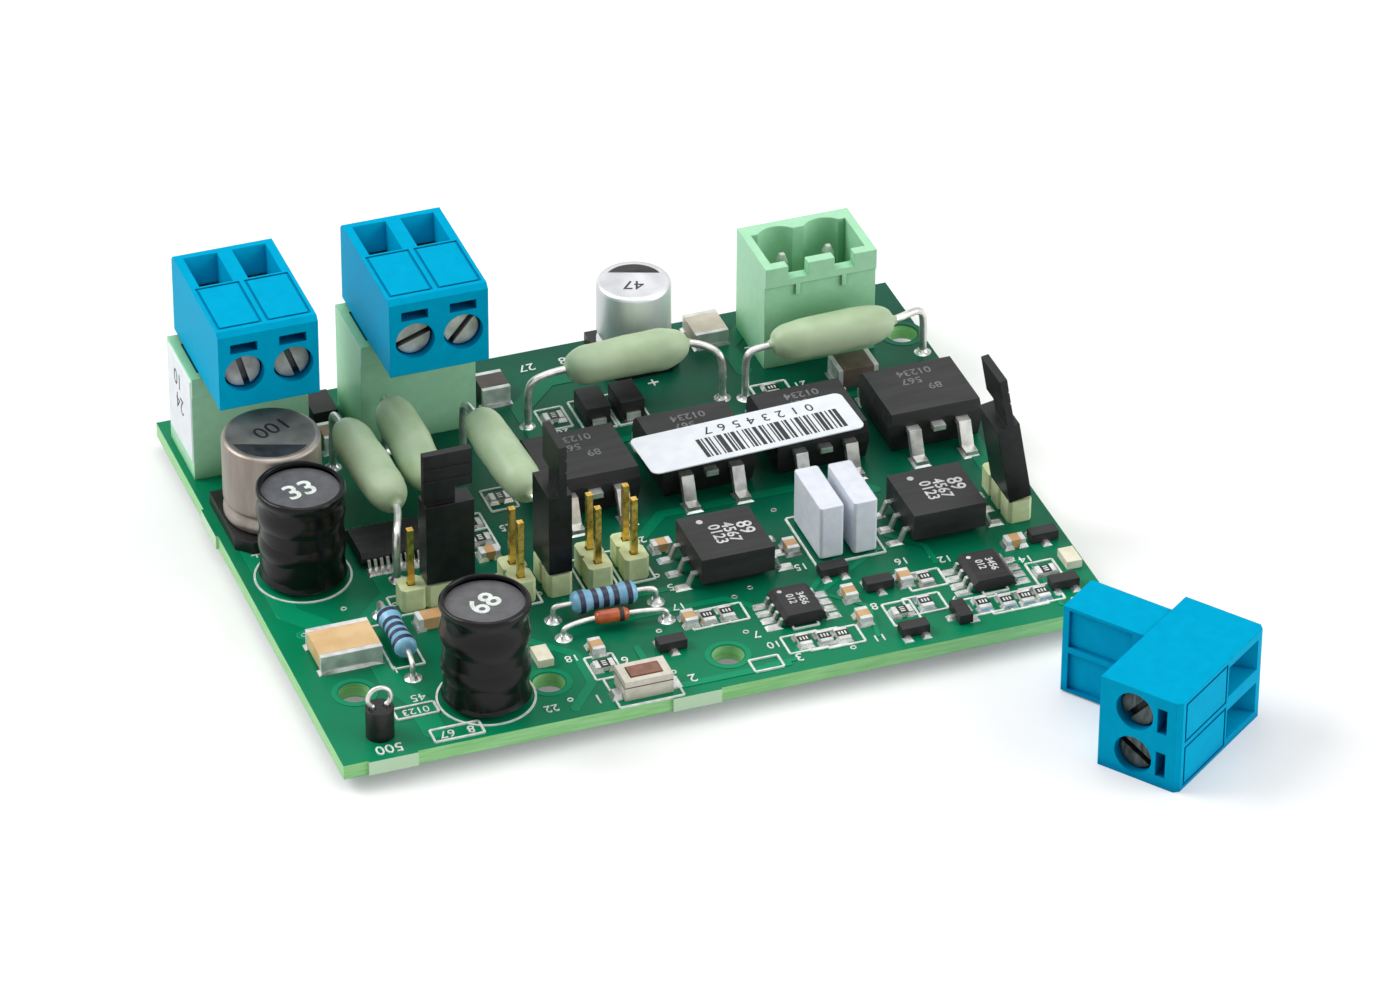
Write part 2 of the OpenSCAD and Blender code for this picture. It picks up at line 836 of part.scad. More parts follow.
module option_strips() {
    color("darkkhaki")
    for (s = strips)
        for (i = [0 : s[2] - 1])
            on_board(strip_pin(s, i).x, strip_pin(s, i).y)
                rotate([0, 0, s[3]])
                    strip_cell();
}

// Lean of a pin: that of the jumper that covers it
function pin_lean(k, i) =
    [for (j = jumpers) if (j[0] == k && (i == j[1] || i == j[1] + 1)) j[2]][0];

module option_pin_solid(lean) {
    translate([0, 0, tail_z])
        block([option_pin, option_pin, strip_h - tail_z]);
    translate([0, 0, strip_h])
        rotate([0, -lean, 0])
            translate([0, 0, -option_pin / 4])
                block([option_pin, option_pin, option_pin_h - strip_h + option_pin / 4]);
    solder_cone(option_pin / 2, solder_r);
}

module option_pins() {
    color("goldenrod")
    for (k = [0 : len(strips) - 1], i = [0 : strips[k][2] - 1])
        on_board(strip_pin(strips[k], i).x, strip_pin(strips[k], i).y)
            option_pin_solid(is_undef(pin_lean(k, i)) ? 0 : pin_lean(k, i));
}

// Frame of a jumper: between its two pins, at the strip's top, along its lean
module at_jumper(j) {
    s = strips[jumpers[j][0]];
    a = strip_pin(s, jumpers[j][1]);
    b = strip_pin(s, jumpers[j][1] + 1);
    on_board((a.x + b.x) / 2, (a.y + b.y) / 2)
        translate([0, 0, strip_h])
            rotate([0, -jumpers[j][2], 0])
                rotate([0, 0, s[3]])
                    children();
}

// Moulded jumper with a tall notched handle, open below for the pins
module jumper(j) {
    hollow_w = 2 * (clip_in + clip_t + clip_gap);
    grip_y = (jumper_w - jumper_grip_t) / 2 - grip_groove;
    color("dimgray")
    at_jumper(j)
    difference() {
        union() {
            translate([0, 0, jumper_seat])
                block([jumper_l, jumper_w, jumper_h]);
            translate([0, -grip_y / 2, jumper_seat + jumper_h - eps])
                block([jumper_l, jumper_grip_t, jumper_grip_h + eps]);
        }
        translate([0, 0, -1])
            block([clip_l + 2 * clip_gap, hollow_w, clip_top + 1]);
        translate([jumper_l / 2, -grip_y / 2, jumper_seat + jumper_h])
            block([2 * grip_notch.x, 2 * jumper_grip_t, grip_notch.y]);
        for (z = [0.45, 0.7])
            translate([0, -grip_y / 2 - jumper_grip_t / 2, jumper_seat + jumper_h + z * jumper_grip_h])
                block([jumper_l + 1, grip_groove, grip_groove]);
    }
}

// Bent spring clip inside a jumper, which bridges the two pins
module jumper_clip(j) {
    color("gold")
    at_jumper(j) {
        for (d = [-1, 1])
            translate([0, d * (clip_in + clip_t / 2), clip_low])
                block([clip_l, clip_t, clip_top - clip_low]);
        translate([0, 0, clip_top - clip_t])
            block([clip_l, 2 * clip_in + clip_t, clip_t]);
    }
}

// Body with round shoulders that taper to the wires
module lacquered_body(d, l) {
    r = d / 2;
    end_r = 0.3 * r;
    shoulder = 0.22 * l;
    steps = [0 : 15 : 90];
    rotate([0, 90, 0])
    rotate_extrude()
        polygon(concat(
            [[0, -l / 2]],
            [for (a = steps) [end_r + (r - end_r) * sin(a), -l / 2 + shoulder * (1 - cos(a))]],
            [for (a = steps) [end_r + (r - end_r) * cos(a), l / 2 - shoulder * (1 - sin(a))]],
            [[0, l / 2]]
        ));
}

// Dumb-bell body of a film resistor, thicker over its end caps
module capped_body(d, l) {
    r = d / 2;
    waist = 0.85 * r;
    cap = 0.25 * l;
    rotate([0, 90, 0])
    rotate_extrude()
        polygon([
            [0, -l / 2],
            [0.5 * r, -l / 2],
            [r, -l / 2 + 0.3 * cap],
            [r, -l / 2 + 0.8 * cap],
            [waist, -l / 2 + cap],
            [waist, l / 2 - cap],
            [r, l / 2 - 0.8 * cap],
            [r, l / 2 - 0.3 * cap],
            [0.5 * r, l / 2],
            [0, l / 2],
        ]);
}

// Plain glass body with rounded ends
module glass_body(d, l) {
    r = d / 2;
    rotate([0, 90, 0])
    rotate_extrude()
        polygon([
            [0, -l / 2],
            [0.6 * r, -l / 2],
            [r, -l / 2 + 0.4 * r],
            [r, l / 2 - 0.4 * r],
            [0.6 * r, l / 2],
            [0, l / 2],
        ]);
}

module at_seat(seat) {
    on_board(seat[0].x, seat[0].y)
        translate([0, 0, seat[0].z])
            rotate([0, seat[2], seat[1]])
                children();
}

module power_resistor(i) {
    color("darkseagreen")
    at_seat(power_seats[i])
        lacquered_body(power_d, power_l);
}

module film_resistors() {
    color("lightskyblue")
    for (s = film_res_seats)
        at_seat(s)
            capped_body(film_res_d, film_res_l);
}

module glass_diode() {
    color("orangered")
    at_seat(diode_seat)
        glass_body(diode_d, diode_l);
}

// Straight wire through the board with its solder cone, up to a height
module tail(top, r) {
    translate([0, 0, tail_z])
        cylinder(h = top - tail_z, r = r);
    solder_cone(r, solder_r);
}

// Rod between two points
module rod(a, b, r) {
    d = b - a;
    translate(a)
        rotate([0, acos(d.z / norm(d)), atan2(d.y, d.x)])
            cylinder(h = norm(d), r = r);
}

// Wire from one end of a part: out along its axis, over to its foot and down.
// Each stretch is a little thinner than the next one, which it ends inside.
module bent_lead(seat, side, l, r) {
    root = along(seat, side * l / 2);
    out = along(seat, side * (l / 2 + stub_l));
    tip = along(seat, side * (l / 2 + stub_l + stub_in * r));
    foot = side < 0 ? seat[3] : seat[4];
    on_board(0, 0) {
        rod(root, tip, stub_part * r);
        rod(out, [foot.x, foot.y, out.z], run_part * r);
    }
    on_board(foot.x, foot.y)
        tail(out.z + r, r);
}

module wire_leads() {
    color("silver") {
        for (s = power_seats, side = [-1, 1])
            bent_lead(s, side, power_l, power_wire_r);
        for (s = film_res_seats, side = [-1, 1])
            bent_lead(s, side, film_res_l, small_wire_r);
        for (side = [-1, 1])
            bent_lead(diode_seat, side, diode_l, small_wire_r);
        for (c = film_caps, d = [-1, 1])
            on_board(c.x, c.y + d * film_cap_pitch / 2)
                tail(film_cap_foot, small_wire_r);
        for (l = inductors, d = [-1, 1])
            on_board(l.x + d * inductor_pitch / 2, l.y)
                tail(core_low, power_wire_r);
    }
}

// Moulded box of a film capacitor, with its long edges cut
module film_capacitors() {
    cut = 0.2;
    w = film_cap_w / 2;
    d = film_cap_d / 2;
    color("lightsteelblue")
    for (c = film_caps)
        on_board(c.x, c.y)
            translate([0, 0, film_cap_foot])
                linear_extrude(film_cap_h - film_cap_foot)
                    polygon([
                        [-w, -d + cut], [-w + cut, -d], [w - cut, -d], [w, -d + cut],
                        [w, d - cut], [w - cut, d], [-w + cut, d], [-w, d - cut],
                    ]);
}

// Shrunk sleeve around an inductor: waved outside, with a rim turned inwards
module sleeve(h) {
    inner = sleeve_r - sleeve_wall;
    lip = core_sunk - 0.2;
    steps = 24;
    rise = h - sleeve_low - lip;
    rotate_extrude()
        polygon(concat(
            [[inner, sleeve_low]],
            [for (i = [0 : steps]) [
                sleeve_r + sleeve_wave * (cos(360 * sleeve_waves * i / steps) - 1) / 2,
                sleeve_low + rise * i / steps
            ]],
            [[sleeve_r - 0.1, h - 0.1], [inner, h], [inner - sleeve_wall, h - 0.1]],
            [[inner - sleeve_wall, h - lip], [inner, h - lip]]
        ));
}

module inductor_sleeves() {
    color("darkslategray")
    for (l = inductors)
        on_board(l.x, l.y)
            sleeve(l[2]);
}

// Ferrite drum: two flanges on a post
module inductor_cores() {
    color("dimgray")
    for (l = inductors)
        on_board(l.x, l.y) {
            translate([0, 0, core_low])
                cylinder(h = core_flange, r = core_r);
            translate([0, 0, core_low])
                cylinder(h = l[2] - core_sunk - core_low, r = core_post_r);
            translate([0, 0, l[2] - core_sunk - core_flange])
                cylinder(h = core_flange, r = core_r);
        }
}

// Wound wire between the flanges, drawn as one ring
module inductor_windings() {
    low = core_low + core_flange + winding_gap;
    color("peru")
    for (l = inductors)
        on_board(l.x, l.y)
            translate([0, 0, low])
                difference() {
                    cylinder(
                        h = l[2] - core_sunk - core_flange - winding_gap - low,
                        r = core_r - winding_gap
                    );
                    translate([0, 0, -1])
                        cylinder(h = l[2], r = core_post_r + winding_gap);
                }
}

// Drawn aluminium can with a crimped groove above its base
module can(r, h) {
    rotate_extrude()
        polygon([
            [0, 0],
            [r - can_round, 0],
            [r, can_round],
            [r, 1],
            [r - can_groove, 1.4],
            [r - can_groove, 1.8],
            [r, 2.2],
            [r, h - can_round],
            [r - 0.3 * can_round, h - 0.3 * can_round],
            [r - can_round, h],
            [0, h],
        ]);
}

module capacitor_can(i) {
    color("lightgray")
    on_board(cans[i].x, cans[i].y)
        translate([0, 0, can_base_h])
            can(cans[i][2], cans[i][3] - can_base_h);
}

// Base plates under the cans, square with two cut corners in front
module capacitor_bases() {
    color("black")
    for (c = cans) {
        half = c[2] + can_base_rim;
        cut = 0.3 * half;
        on_board(c.x, c.y)
            linear_extrude(can_base_h)
                polygon([
                    [-half + cut, -half], [half - cut, -half], [half, -half + cut],
                    [half, half], [-half, half], [-half, -half + cut],
                ]);
    }
}

module at_transistor(i) {
    on_board(transistor_x + i * transistor_pitch, transistor_front)
        children();
}

// Moulded transistor bodies with sloping sides above the lead line
module power_transistors() {
    slope = 0.3;
    top = transistor_h;
    color("black")
    for (i = [0 : transistor_count - 1])
        at_transistor(i)
            intersection() {
                rotate([90, 0, 90])
                    linear_extrude(2 * transistor_w, center = true)
                        polygon([
                            [slope, transistor_under],
                            [transistor_d, transistor_under],
                            [transistor_d, top - 2 * slope],
                            [transistor_d - 2 * slope, top],
                            [slope, top],
                            [0, transistor_lead_z + transistor_lead_t],
                            [0, transistor_lead_z - transistor_lead_t],
                        ]);
                rotate([90, 0, 0])
                    linear_extrude(4 * transistor_d, center = true)
                        polygon([
                            [-transistor_w / 2 + slope, 0],
                            [transistor_w / 2 - slope, 0],
                            [transistor_w / 2, transistor_lead_z],
                            [transistor_w / 2 - slope, top + 1],
                            [-transistor_w / 2 + slope, top + 1],
                            [-transistor_w / 2, transistor_lead_z],
                        ]);
            }
}

// Bent lead: out from the body at a height, down to the board and out to a foot
module gull_wing(h, out, foot, w, t) {
    drop = out + 0.35 * h;
    rotate([90, 0, 0])
        linear_extrude(w, center = true)
            polygon([
                [0, h], [out, h], [drop, t], [foot, t],
                [foot, 0], [drop - t, 0], [out - t, h - t], [0, h - t],
            ]);
}

// Isolator bodies: a square block on a smaller belly
module isolators() {
    belly = 0.8;
    color("darkslategray")
    for (p = isolators_at)
        on_board(p.x, p.y) {
            translate([0, 0, isolator_under])
                block([isolator_w, isolator_w, isolator_h - isolator_under]);
            translate([0, 0, isolator_belly])
                block([belly * isolator_w, belly * isolator_w, isolator_h - isolator_belly - eps]);
        }
}

// Small package with sides that slope away from the lead line
module package_body(size) {
    slope = 0.45;
    half = size.x / 2;
    mid = (size.z + package_under) / 2;
    rotate([90, 0, 0])
        linear_extrude(size.y, center = true)
            polygon([
                [-half + slope, package_under],
                [half - slope, package_under],
                [half, mid - lead_t],
                [half, mid + lead_t],
                [half - slope, size.z],
                [-half + slope, size.z],
                [-half, mid + lead_t],
                [-half, mid - lead_t],
            ]);
}

module control_chips() {
    color("black")
    for (p = packages)
        on_board(p[0], p[1])
            rotate([0, 0, p[3]])
                package_body(p[2]);
}

// Small three-lead bodies and the block diodes
module small_semiconductors() {
    color("black") {
        for (s = sots)
            on_board(s[0], s[1])
                rotate([0, 0, s[2]])
                    translate([0, 0, 0.1])
                        block(sot_body);
        for (d = block_diodes)
            on_board(d.x, d.y)
                translate([0, 0, 0.1])
                    block(block_diode);
    }
}

// All the tinned leads of the flat packages
module package_leads() {
    color("silver") {
        for (i = [0 : transistor_count - 1])
            at_transistor(i) {
                for (d = [-1, 1])
                    translate([d * transistor_lead_pitch / 2, 0, 0])
                        rotate([0, 0, -90])
                            gull_wing(
                                transistor_lead_z + transistor_lead_t / 2, 1,
                                transistor_foot, transistor_lead_w, transistor_lead_t
                            );
                translate([0, -transistor_stub / 2, transistor_lead_z - transistor_lead_t / 2])
                    block([transistor_lead_w, transistor_stub, transistor_lead_t]);
                translate([0, transistor_d + transistor_tab / 2, 0])
                    block([0.9 * transistor_w, transistor_tab, 1.3]);
            }
        for (p = isolators_at, side = [0, 180], k = [0 : isolator_leads - 1])
            on_board(p.x, p.y)
                rotate([0, 0, side])
                    translate([isolator_w / 2, (k - 1) * isolator_pitch, 0])
                        gull_wing(1.6, 0.6, 2.1, isolator_lead_w, lead_t);
        for (p = packages, side = [0, 180], k = [0 : p[4] - 1])
            on_board(p[0], p[1])
                rotate([0, 0, p[3] + side])
                    translate([p[2].x / 2, (k - (p[4] - 1) / 2) * p[5], 0])
                        gull_wing(
                            (p[2].z + package_under + lead_t) / 2, 0.25,
                            package_lead_l, p[6], lead_t
                        );
        for (s = sots)
            on_board(s[0], s[1])
                rotate([0, 0, s[2]]) {
                    for (d = [-1, 1])
                        translate([d * 0.95, -(sot_body.y + sot_lead.y) / 2, 0])
                            block(sot_lead);
                    translate([0, (sot_body.y + sot_lead.y) / 2, 0])
                        block(sot_lead);
                }
        for (p = block_diodes, d = [-1, 1])
            on_board(p.x, p.y + d * (block_diode.y + block_diode_foot.y) / 2)
                block(block_diode_foot);
    }
}

// Chip body between its two metal ends
module chip_body(size) {
    block([size.x - 2 * chip_end, size.y, size.z]);
}

module chip_end_pair(size) {
    for (d = [-1, 1])
        translate([d * (size.x - chip_end) / 2, 0, 0])
            block([chip_end, size.y, size.z]);
}

module chip_resistors() {
    color("black")
    for (c = chip_resistors_at)
        on_board(c.x, c.y)
            rotate([0, 0, c[2]])
                chip_body([chip_l, chip_w, chip_res_h]);
}

module ceramic_capacitors() {
    color("tan") {
        for (c = chip_capacitors_at)
            on_board(c.x, c.y)
                rotate([0, 0, c[2]])
                    chip_body([chip_l, chip_w, chip_cap_h]);
        for (c = ceramic_blocks)
            on_board(c[0], c[1])
                rotate([0, 0, c[3]])
                    chip_body(c[2]);
        on_board(stacked_at.x, stacked_at.y)
            translate([0, 0, stacked_foot])
                block(stacked_size);
    }
}

module chip_ends() {
    color("silver") {
        for (c = chip_resistors_at)
            on_board(c.x, c.y)
                rotate([0, 0, c[2]])
                    chip_end_pair([chip_l, chip_w, chip_res_h]);
        for (c = chip_capacitors_at)
            on_board(c.x, c.y)
                rotate([0, 0, c[2]])
                    chip_end_pair([chip_l, chip_w, chip_cap_h]);
        for (c = ceramic_blocks)
            on_board(c[0], c[1])
                rotate([0, 0, c[3]])
                    chip_end_pair(c[2]);
        for (d = [-1, 1])
            on_board(stacked_at.x, stacked_at.y + d * (stacked_size.y + stacked_plate) / 2)
                block([stacked_size.x, stacked_plate, stacked_foot + stacked_size.z]);
    }
}

module indicator_lamps() {
    color("ivory")
    for (p = leds)
        on_board(p.x, p.y)
            block(led_size);
}

// Frame of the test button, with a well that the button moves in
module button_frame() {
    floor_z = switch_h + button_proud - button_h - button_travel;
    well = [button_size.x + 2 * button_gap, button_size.y + 2 * button_gap, switch_h];
    color("linen")
    on_board(switch_at.x, switch_at.y)
        difference() {
            block([switch_w, switch_d, switch_h]);
            translate([0, 0, floor_z - button_gap])
                block(well);
        }
}

module test_button() {
    color("rosybrown")
    on_board(switch_at.x, switch_at.y)
        translate([0, 0, switch_h + button_proud - button_h])
            block([button_size.x, button_size.y, button_h]);
}

// Moulded bead that the test loop stands in
module test_post_bead() {
    color("black")
    on_board(post_at.x, post_at.y)
        difference() {
            cylinder(h = bead_h, r = bead_r);
            for (d = [-1, 1])
                translate([d * post_leg, 0, -1])
                    cylinder(h = bead_h + 2, r = post_wire_r + hole_gap);
        }
}

// Bent wire loop for a test clip
module test_post_loop() {
    foot_z = bead_h + post_rise;
    color("silver")
    on_board(post_at.x, post_at.y) {
        translate([0, 0, foot_z + loop_r * sin((post_arc - 180) / 2)])
            rotate([90, 0, 0])
                rotate([0, 0, 90 - post_arc / 2])
                    rotate_extrude(angle = post_arc)
                        translate([loop_r, 0])
                            circle(post_wire_r);
        for (d = [-1, 1])
            translate([d * post_leg, 0, 0]) {
                tail(foot_z - wire_cut * post_wire_r, post_wire_r);
                translate([0, 0, foot_z])
                    sphere(wire_knee * post_wire_r);
            }
    }
}

// Paper label laid across two transistors
module bar_label() {
    w = label_w / 2 - label_corner;
    d = label_d / 2 - label_corner;
    color("white")
    on_board(label_at.x, label_at.y)
        translate([0, 0, transistor_h])
            rotate([0, 0, label_turn])
                linear_extrude(label_t) {
                    square([2 * w, label_d], center = true);
                    square([label_w, 2 * d], center = true);
                    for (x = [-w, w], y = [-d, d])
                        translate([x, y])
                            circle(label_corner);
                }
}

circuit_board();
header(0);  // header_a
header(1);  // header_b
header(2);  // header_c
header_pins();
seated_plug(0) plug_housing();  // plug_a_housing
seated_plug(1) plug_housing();  // plug_b_housing
loose_plug() plug_housing();  // loose_plug_housing
seated_plug(0) contacts();  // plug_a_contacts
seated_plug(1) contacts();  // plug_b_contacts
loose_plug() contacts();  // loose_plug_contacts
seated_plug(0) pole(0) terminal_screw(screw_turn[0][0]);  // plug_a_screw_1
seated_plug(0) pole(1) terminal_screw(screw_turn[0][1]);  // plug_a_screw_2
seated_plug(1) pole(0) terminal_screw(screw_turn[1][0]);  // plug_b_screw_1
seated_plug(1) pole(1) terminal_screw(screw_turn[1][1]);  // plug_b_screw_2
loose_plug() pole(0) terminal_screw(screw_turn[2][0]);  // loose_plug_screw_1
loose_plug() pole(1) terminal_screw(screw_turn[2][1]);  // loose_plug_screw_2
seated_plug(0) pole(0) wire_clamp();  // plug_a_clamp_1
seated_plug(0) pole(1) wire_clamp();  // plug_a_clamp_2
seated_plug(1) pole(0) wire_clamp();  // plug_b_clamp_1
seated_plug(1) pole(1) wire_clamp();  // plug_b_clamp_2
loose_plug() pole(0) wire_clamp();  // loose_plug_clamp_1
loose_plug() pole(1) wire_clamp();  // loose_plug_clamp_2
option_strips();
option_pins();
jumper(0);  // jumper_1
jumper(1);  // jumper_2
jumper(2);  // jumper_3
jumper_clip(0);  // jumper_1_clip
jumper_clip(1);  // jumper_2_clip
jumper_clip(2);  // jumper_3_clip
power_resistor(0);  // power_resistor_1
power_resistor(1);  // power_resistor_2
power_resistor(2);  // power_resistor_3
power_resistor(3);  // power_resistor_4
power_resistor(4);  // power_resistor_5
film_resistors();
glass_diode();
film_capacitors();
wire_leads();
inductor_sleeves();
inductor_cores();
inductor_windings();
capacitor_can(0);  // large_capacitor_can
capacitor_can(1);  // small_capacitor_can
capacitor_bases();
power_transistors();
isolators();
control_chips();
small_semiconductors();
package_leads();
chip_resistors();
ceramic_capacitors();
chip_ends();
indicator_lamps();
button_frame();
test_button();
test_post_bead();
test_post_loop();
bar_label();
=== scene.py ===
import math
import bpy
from mathutils import Matrix, Vector


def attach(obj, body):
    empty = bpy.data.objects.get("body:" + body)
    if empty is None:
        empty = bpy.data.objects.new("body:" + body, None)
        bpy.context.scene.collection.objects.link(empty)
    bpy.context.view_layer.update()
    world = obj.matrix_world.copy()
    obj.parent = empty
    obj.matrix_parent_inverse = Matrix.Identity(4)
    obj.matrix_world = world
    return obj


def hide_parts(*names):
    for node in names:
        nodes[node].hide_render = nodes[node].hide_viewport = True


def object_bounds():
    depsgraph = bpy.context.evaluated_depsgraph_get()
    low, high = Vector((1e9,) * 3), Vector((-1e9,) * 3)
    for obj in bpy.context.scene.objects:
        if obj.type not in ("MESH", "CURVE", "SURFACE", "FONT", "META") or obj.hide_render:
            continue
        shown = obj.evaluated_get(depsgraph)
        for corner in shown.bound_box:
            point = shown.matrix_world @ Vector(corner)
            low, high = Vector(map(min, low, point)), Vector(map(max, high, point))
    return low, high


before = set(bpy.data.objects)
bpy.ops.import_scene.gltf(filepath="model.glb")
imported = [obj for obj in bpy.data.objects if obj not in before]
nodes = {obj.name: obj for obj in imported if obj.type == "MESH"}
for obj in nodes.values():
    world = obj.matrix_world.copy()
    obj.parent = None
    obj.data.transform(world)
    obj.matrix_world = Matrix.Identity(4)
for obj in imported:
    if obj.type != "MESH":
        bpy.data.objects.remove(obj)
cad_box = [list(corner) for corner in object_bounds()]
bpy.ops.object.select_all(action="DESELECT")

# Studio. A white sweep carries the module, lit by broad soft boxes at the back left and the front
# right and a weaker one overhead. A long lens looks down from the front left, as in the photograph.
scene = bpy.context.scene
scene.view_settings.view_transform = "Standard"
camera_data = bpy.data.cameras.new("product_camera")
camera_data.lens = 187.7
camera_data.sensor_width = 36
camera = bpy.data.objects.new("product_camera", camera_data)
camera.location = (-0.2023, -0.5716, 0.4152)
camera.rotation_euler = [math.radians(angle) for angle in (55.80, -0.29, -19.98)]
scene.collection.objects.link(camera)
scene.camera = camera

bpy.ops.mesh.primitive_plane_add(size=4, location=(0, 0, cad_box[0][2]))
sweep = bpy.context.object
sweep.name = "studio_sweep"
sweep_paint = bpy.data.materials.new("sweep_white")
sweep_paint.use_nodes = True
sweep.data.materials.append(sweep_paint)


def seen_directly(tree):
    """One for rays that come from the camera, a reflection or glass, and nought for light."""
    path = tree.nodes.new("ShaderNodeLightPath")
    total = path.outputs["Is Camera Ray"]
    for kind in ("Is Glossy Ray", "Is Transmission Ray"):
        highest = tree.nodes.new("ShaderNodeMath")
        highest.operation = "MAXIMUM"
        tree.links.new(total, highest.inputs[0])
        tree.links.new(path.outputs[kind], highest.inputs[1])
        total = highest.outputs[0]
    return total


def ranged(tree, value, low, high, start=0.0, end=1.0):
    """Carries a value from one range to another."""
    node = tree.nodes.new("ShaderNodeMapRange")
    node.inputs["From Min"].default_value = start
    node.inputs["From Max"].default_value = end
    node.inputs["To Min"].default_value = low
    node.inputs["To Max"].default_value = high
    tree.links.new(value, node.inputs["Value"])
    return node.outputs["Result"]


sweep_glow, world_fill, white_level = 0.22, 0.34, 1.0
sweep_tree = sweep_paint.node_tree
sweep_shader = sweep_tree.nodes["Principled BSDF"]
sweep_shader.inputs["Base Color"].default_value = (0.8, 0.8, 0.8, 1)
sweep_shader.inputs["Roughness"].default_value = 0.9
sweep_shader.inputs["Specular IOR Level"].default_value = 0.0
sweep_shader.inputs["Emission Color"].default_value = (1, 1, 1, 1)
sweep_tree.links.new(
    ranged(sweep_tree, seen_directly(sweep_tree), 0.0, sweep_glow),
    sweep_shader.inputs["Emission Strength"],
)

world = bpy.data.worlds.new("studio_white")
world.use_nodes = True
scene.world = world
world_light = world.node_tree.nodes["Background"]
world_light.inputs["Color"].default_value = (1, 1, 1, 1)
world.node_tree.links.new(
    ranged(world.node_tree, seen_directly(world.node_tree), world_fill, white_level),
    world_light.inputs["Strength"],
)

for name, power, size, place in (
    ("key_soft_box", 4.0, 0.45, (-0.48, 0.30, 0.54)),
    ("top_soft_box", 1.4, 0.50, (0.10, 0.10, 0.70)),
    ("front_soft_box", 3.6, 0.60, (0.66, -0.38, 0.30)),
):
    lamp = bpy.data.lights.new(name, "AREA")
    lamp.energy = power
    lamp.size = size
    lamp_object = bpy.data.objects.new(name, lamp)
    lamp_object.location = place
    lamp_object.rotation_euler = (-Vector(place)).to_track_quat("-Z", "Y").to_euler()
    scene.collection.objects.link(lamp_object)

# Circuit board. Glass-fibre laminate, routed to size and snapped out of a panel, with green
# solder resist over copper on both faces. The bare pale edge shows, whitish where it was snapped.
mm = 0.001
board_w, board_d, board_t = 80, 63, 1.6
edge_light_reach, edge_band, stub_from = 22, 0.02, 0.05


def tone(red, green, blue):
    """A colour as it looks on a screen, turned to the linear one that the shader takes."""
    return [((v / 255 + 0.055) / 1.055) ** 2.4 if v > 10 else v / 3295 for v in (red, green, blue)] + [1]


def blank(name, rough, metal=0.0, gloss=0.5):
    """A new material and the parts of it that every finish here starts from."""
    material = bpy.data.materials.new(name)
    material.use_nodes = True
    tree = material.node_tree
    shader = tree.nodes["Principled BSDF"]
    shader.inputs["Roughness"].default_value = rough
    shader.inputs["Metallic"].default_value = metal
    shader.inputs["Specular IOR Level"].default_value = gloss
    place = tree.nodes.new("ShaderNodeTexCoord").outputs["Object"]
    return material, tree, shader, place


def noise(tree, place, scale, detail=3.0, stretch=(1, 1, 1)):
    """Cloudy variation over the piece, stretched where the finish has a direction."""
    turn = tree.nodes.new("ShaderNodeMapping")
    turn.inputs["Scale"].default_value = stretch
    cloud = tree.nodes.new("ShaderNodeTexNoise")
    cloud.inputs["Scale"].default_value = scale
    cloud.inputs["Detail"].default_value = detail
    tree.links.new(place, turn.inputs["Vector"])
    tree.links.new(turn.outputs["Vector"], cloud.inputs["Vector"])
    return cloud.outputs["Fac"]


def shades(tree, value, dark, light, start=0.35, end=0.65):
    """Runs from one colour to another as a value rises."""
    ramp = tree.nodes.new("ShaderNodeValToRGB")
    ramp.color_ramp.elements[0].position = start
    ramp.color_ramp.elements[0].color = dark
    ramp.color_ramp.elements[1].position = end
    ramp.color_ramp.elements[1].color = light
    tree.links.new(value, ramp.inputs["Fac"])
    return ramp.outputs["Color"]


def either(tree, factor, first, second):
    """The first colour where the factor is nought and the second where it is one."""
    mix = tree.nodes.new("ShaderNodeMix")
    mix.data_type = "RGBA"
    tree.links.new(factor, mix.inputs[0])
    for socket, colour in ((mix.inputs[6], first), (mix.inputs[7], second)):
        if isinstance(colour, list):
            socket.default_value = colour
        else:
            tree.links.new(colour, socket)
    return mix.outputs[2]


def sums(tree, operation, first, second=None):
    """One step of arithmetic on a value."""
    node = tree.nodes.new("ShaderNodeMath")
    node.operation = operation
    tree.links.new(first, node.inputs[0])
    if isinstance(second, (int, float)):
        node.inputs[1].default_value = second
    elif second is not None:
        tree.links.new(second, node.inputs[1])
    return node.outputs[0]


def axes(tree, place):
    """The three coordinates of a point on the piece."""
    split = tree.nodes.new("ShaderNodeSeparateXYZ")
    tree.links.new(place, split.inputs[0])
    return split.outputs


def relief(tree, shader, height, depth, strength=1.0, rounding=0.0):
    """Raises the surface by a height, in millimetres, and softens the edges of a moulded solid."""
    bump = tree.nodes.new("ShaderNodeBump")
    bump.inputs["Strength"].default_value = strength
    bump.inputs["Distance"].default_value = depth * mm
    tree.links.new(height, bump.inputs["Height"])
    if rounding:
        edge = tree.nodes.new("ShaderNodeBevel")
        edge.samples = 4
        edge.inputs["Radius"].default_value = rounding * mm
        tree.links.new(edge.outputs["Normal"], bump.inputs["Normal"])
    tree.links.new(bump.outputs["Normal"], shader.inputs["Normal"])


def dress(material, *names):
    """Gives CAD nodes their finish."""
    for name in names:
        nodes[name].data.materials.clear()
        nodes[name].data.materials.append(material)


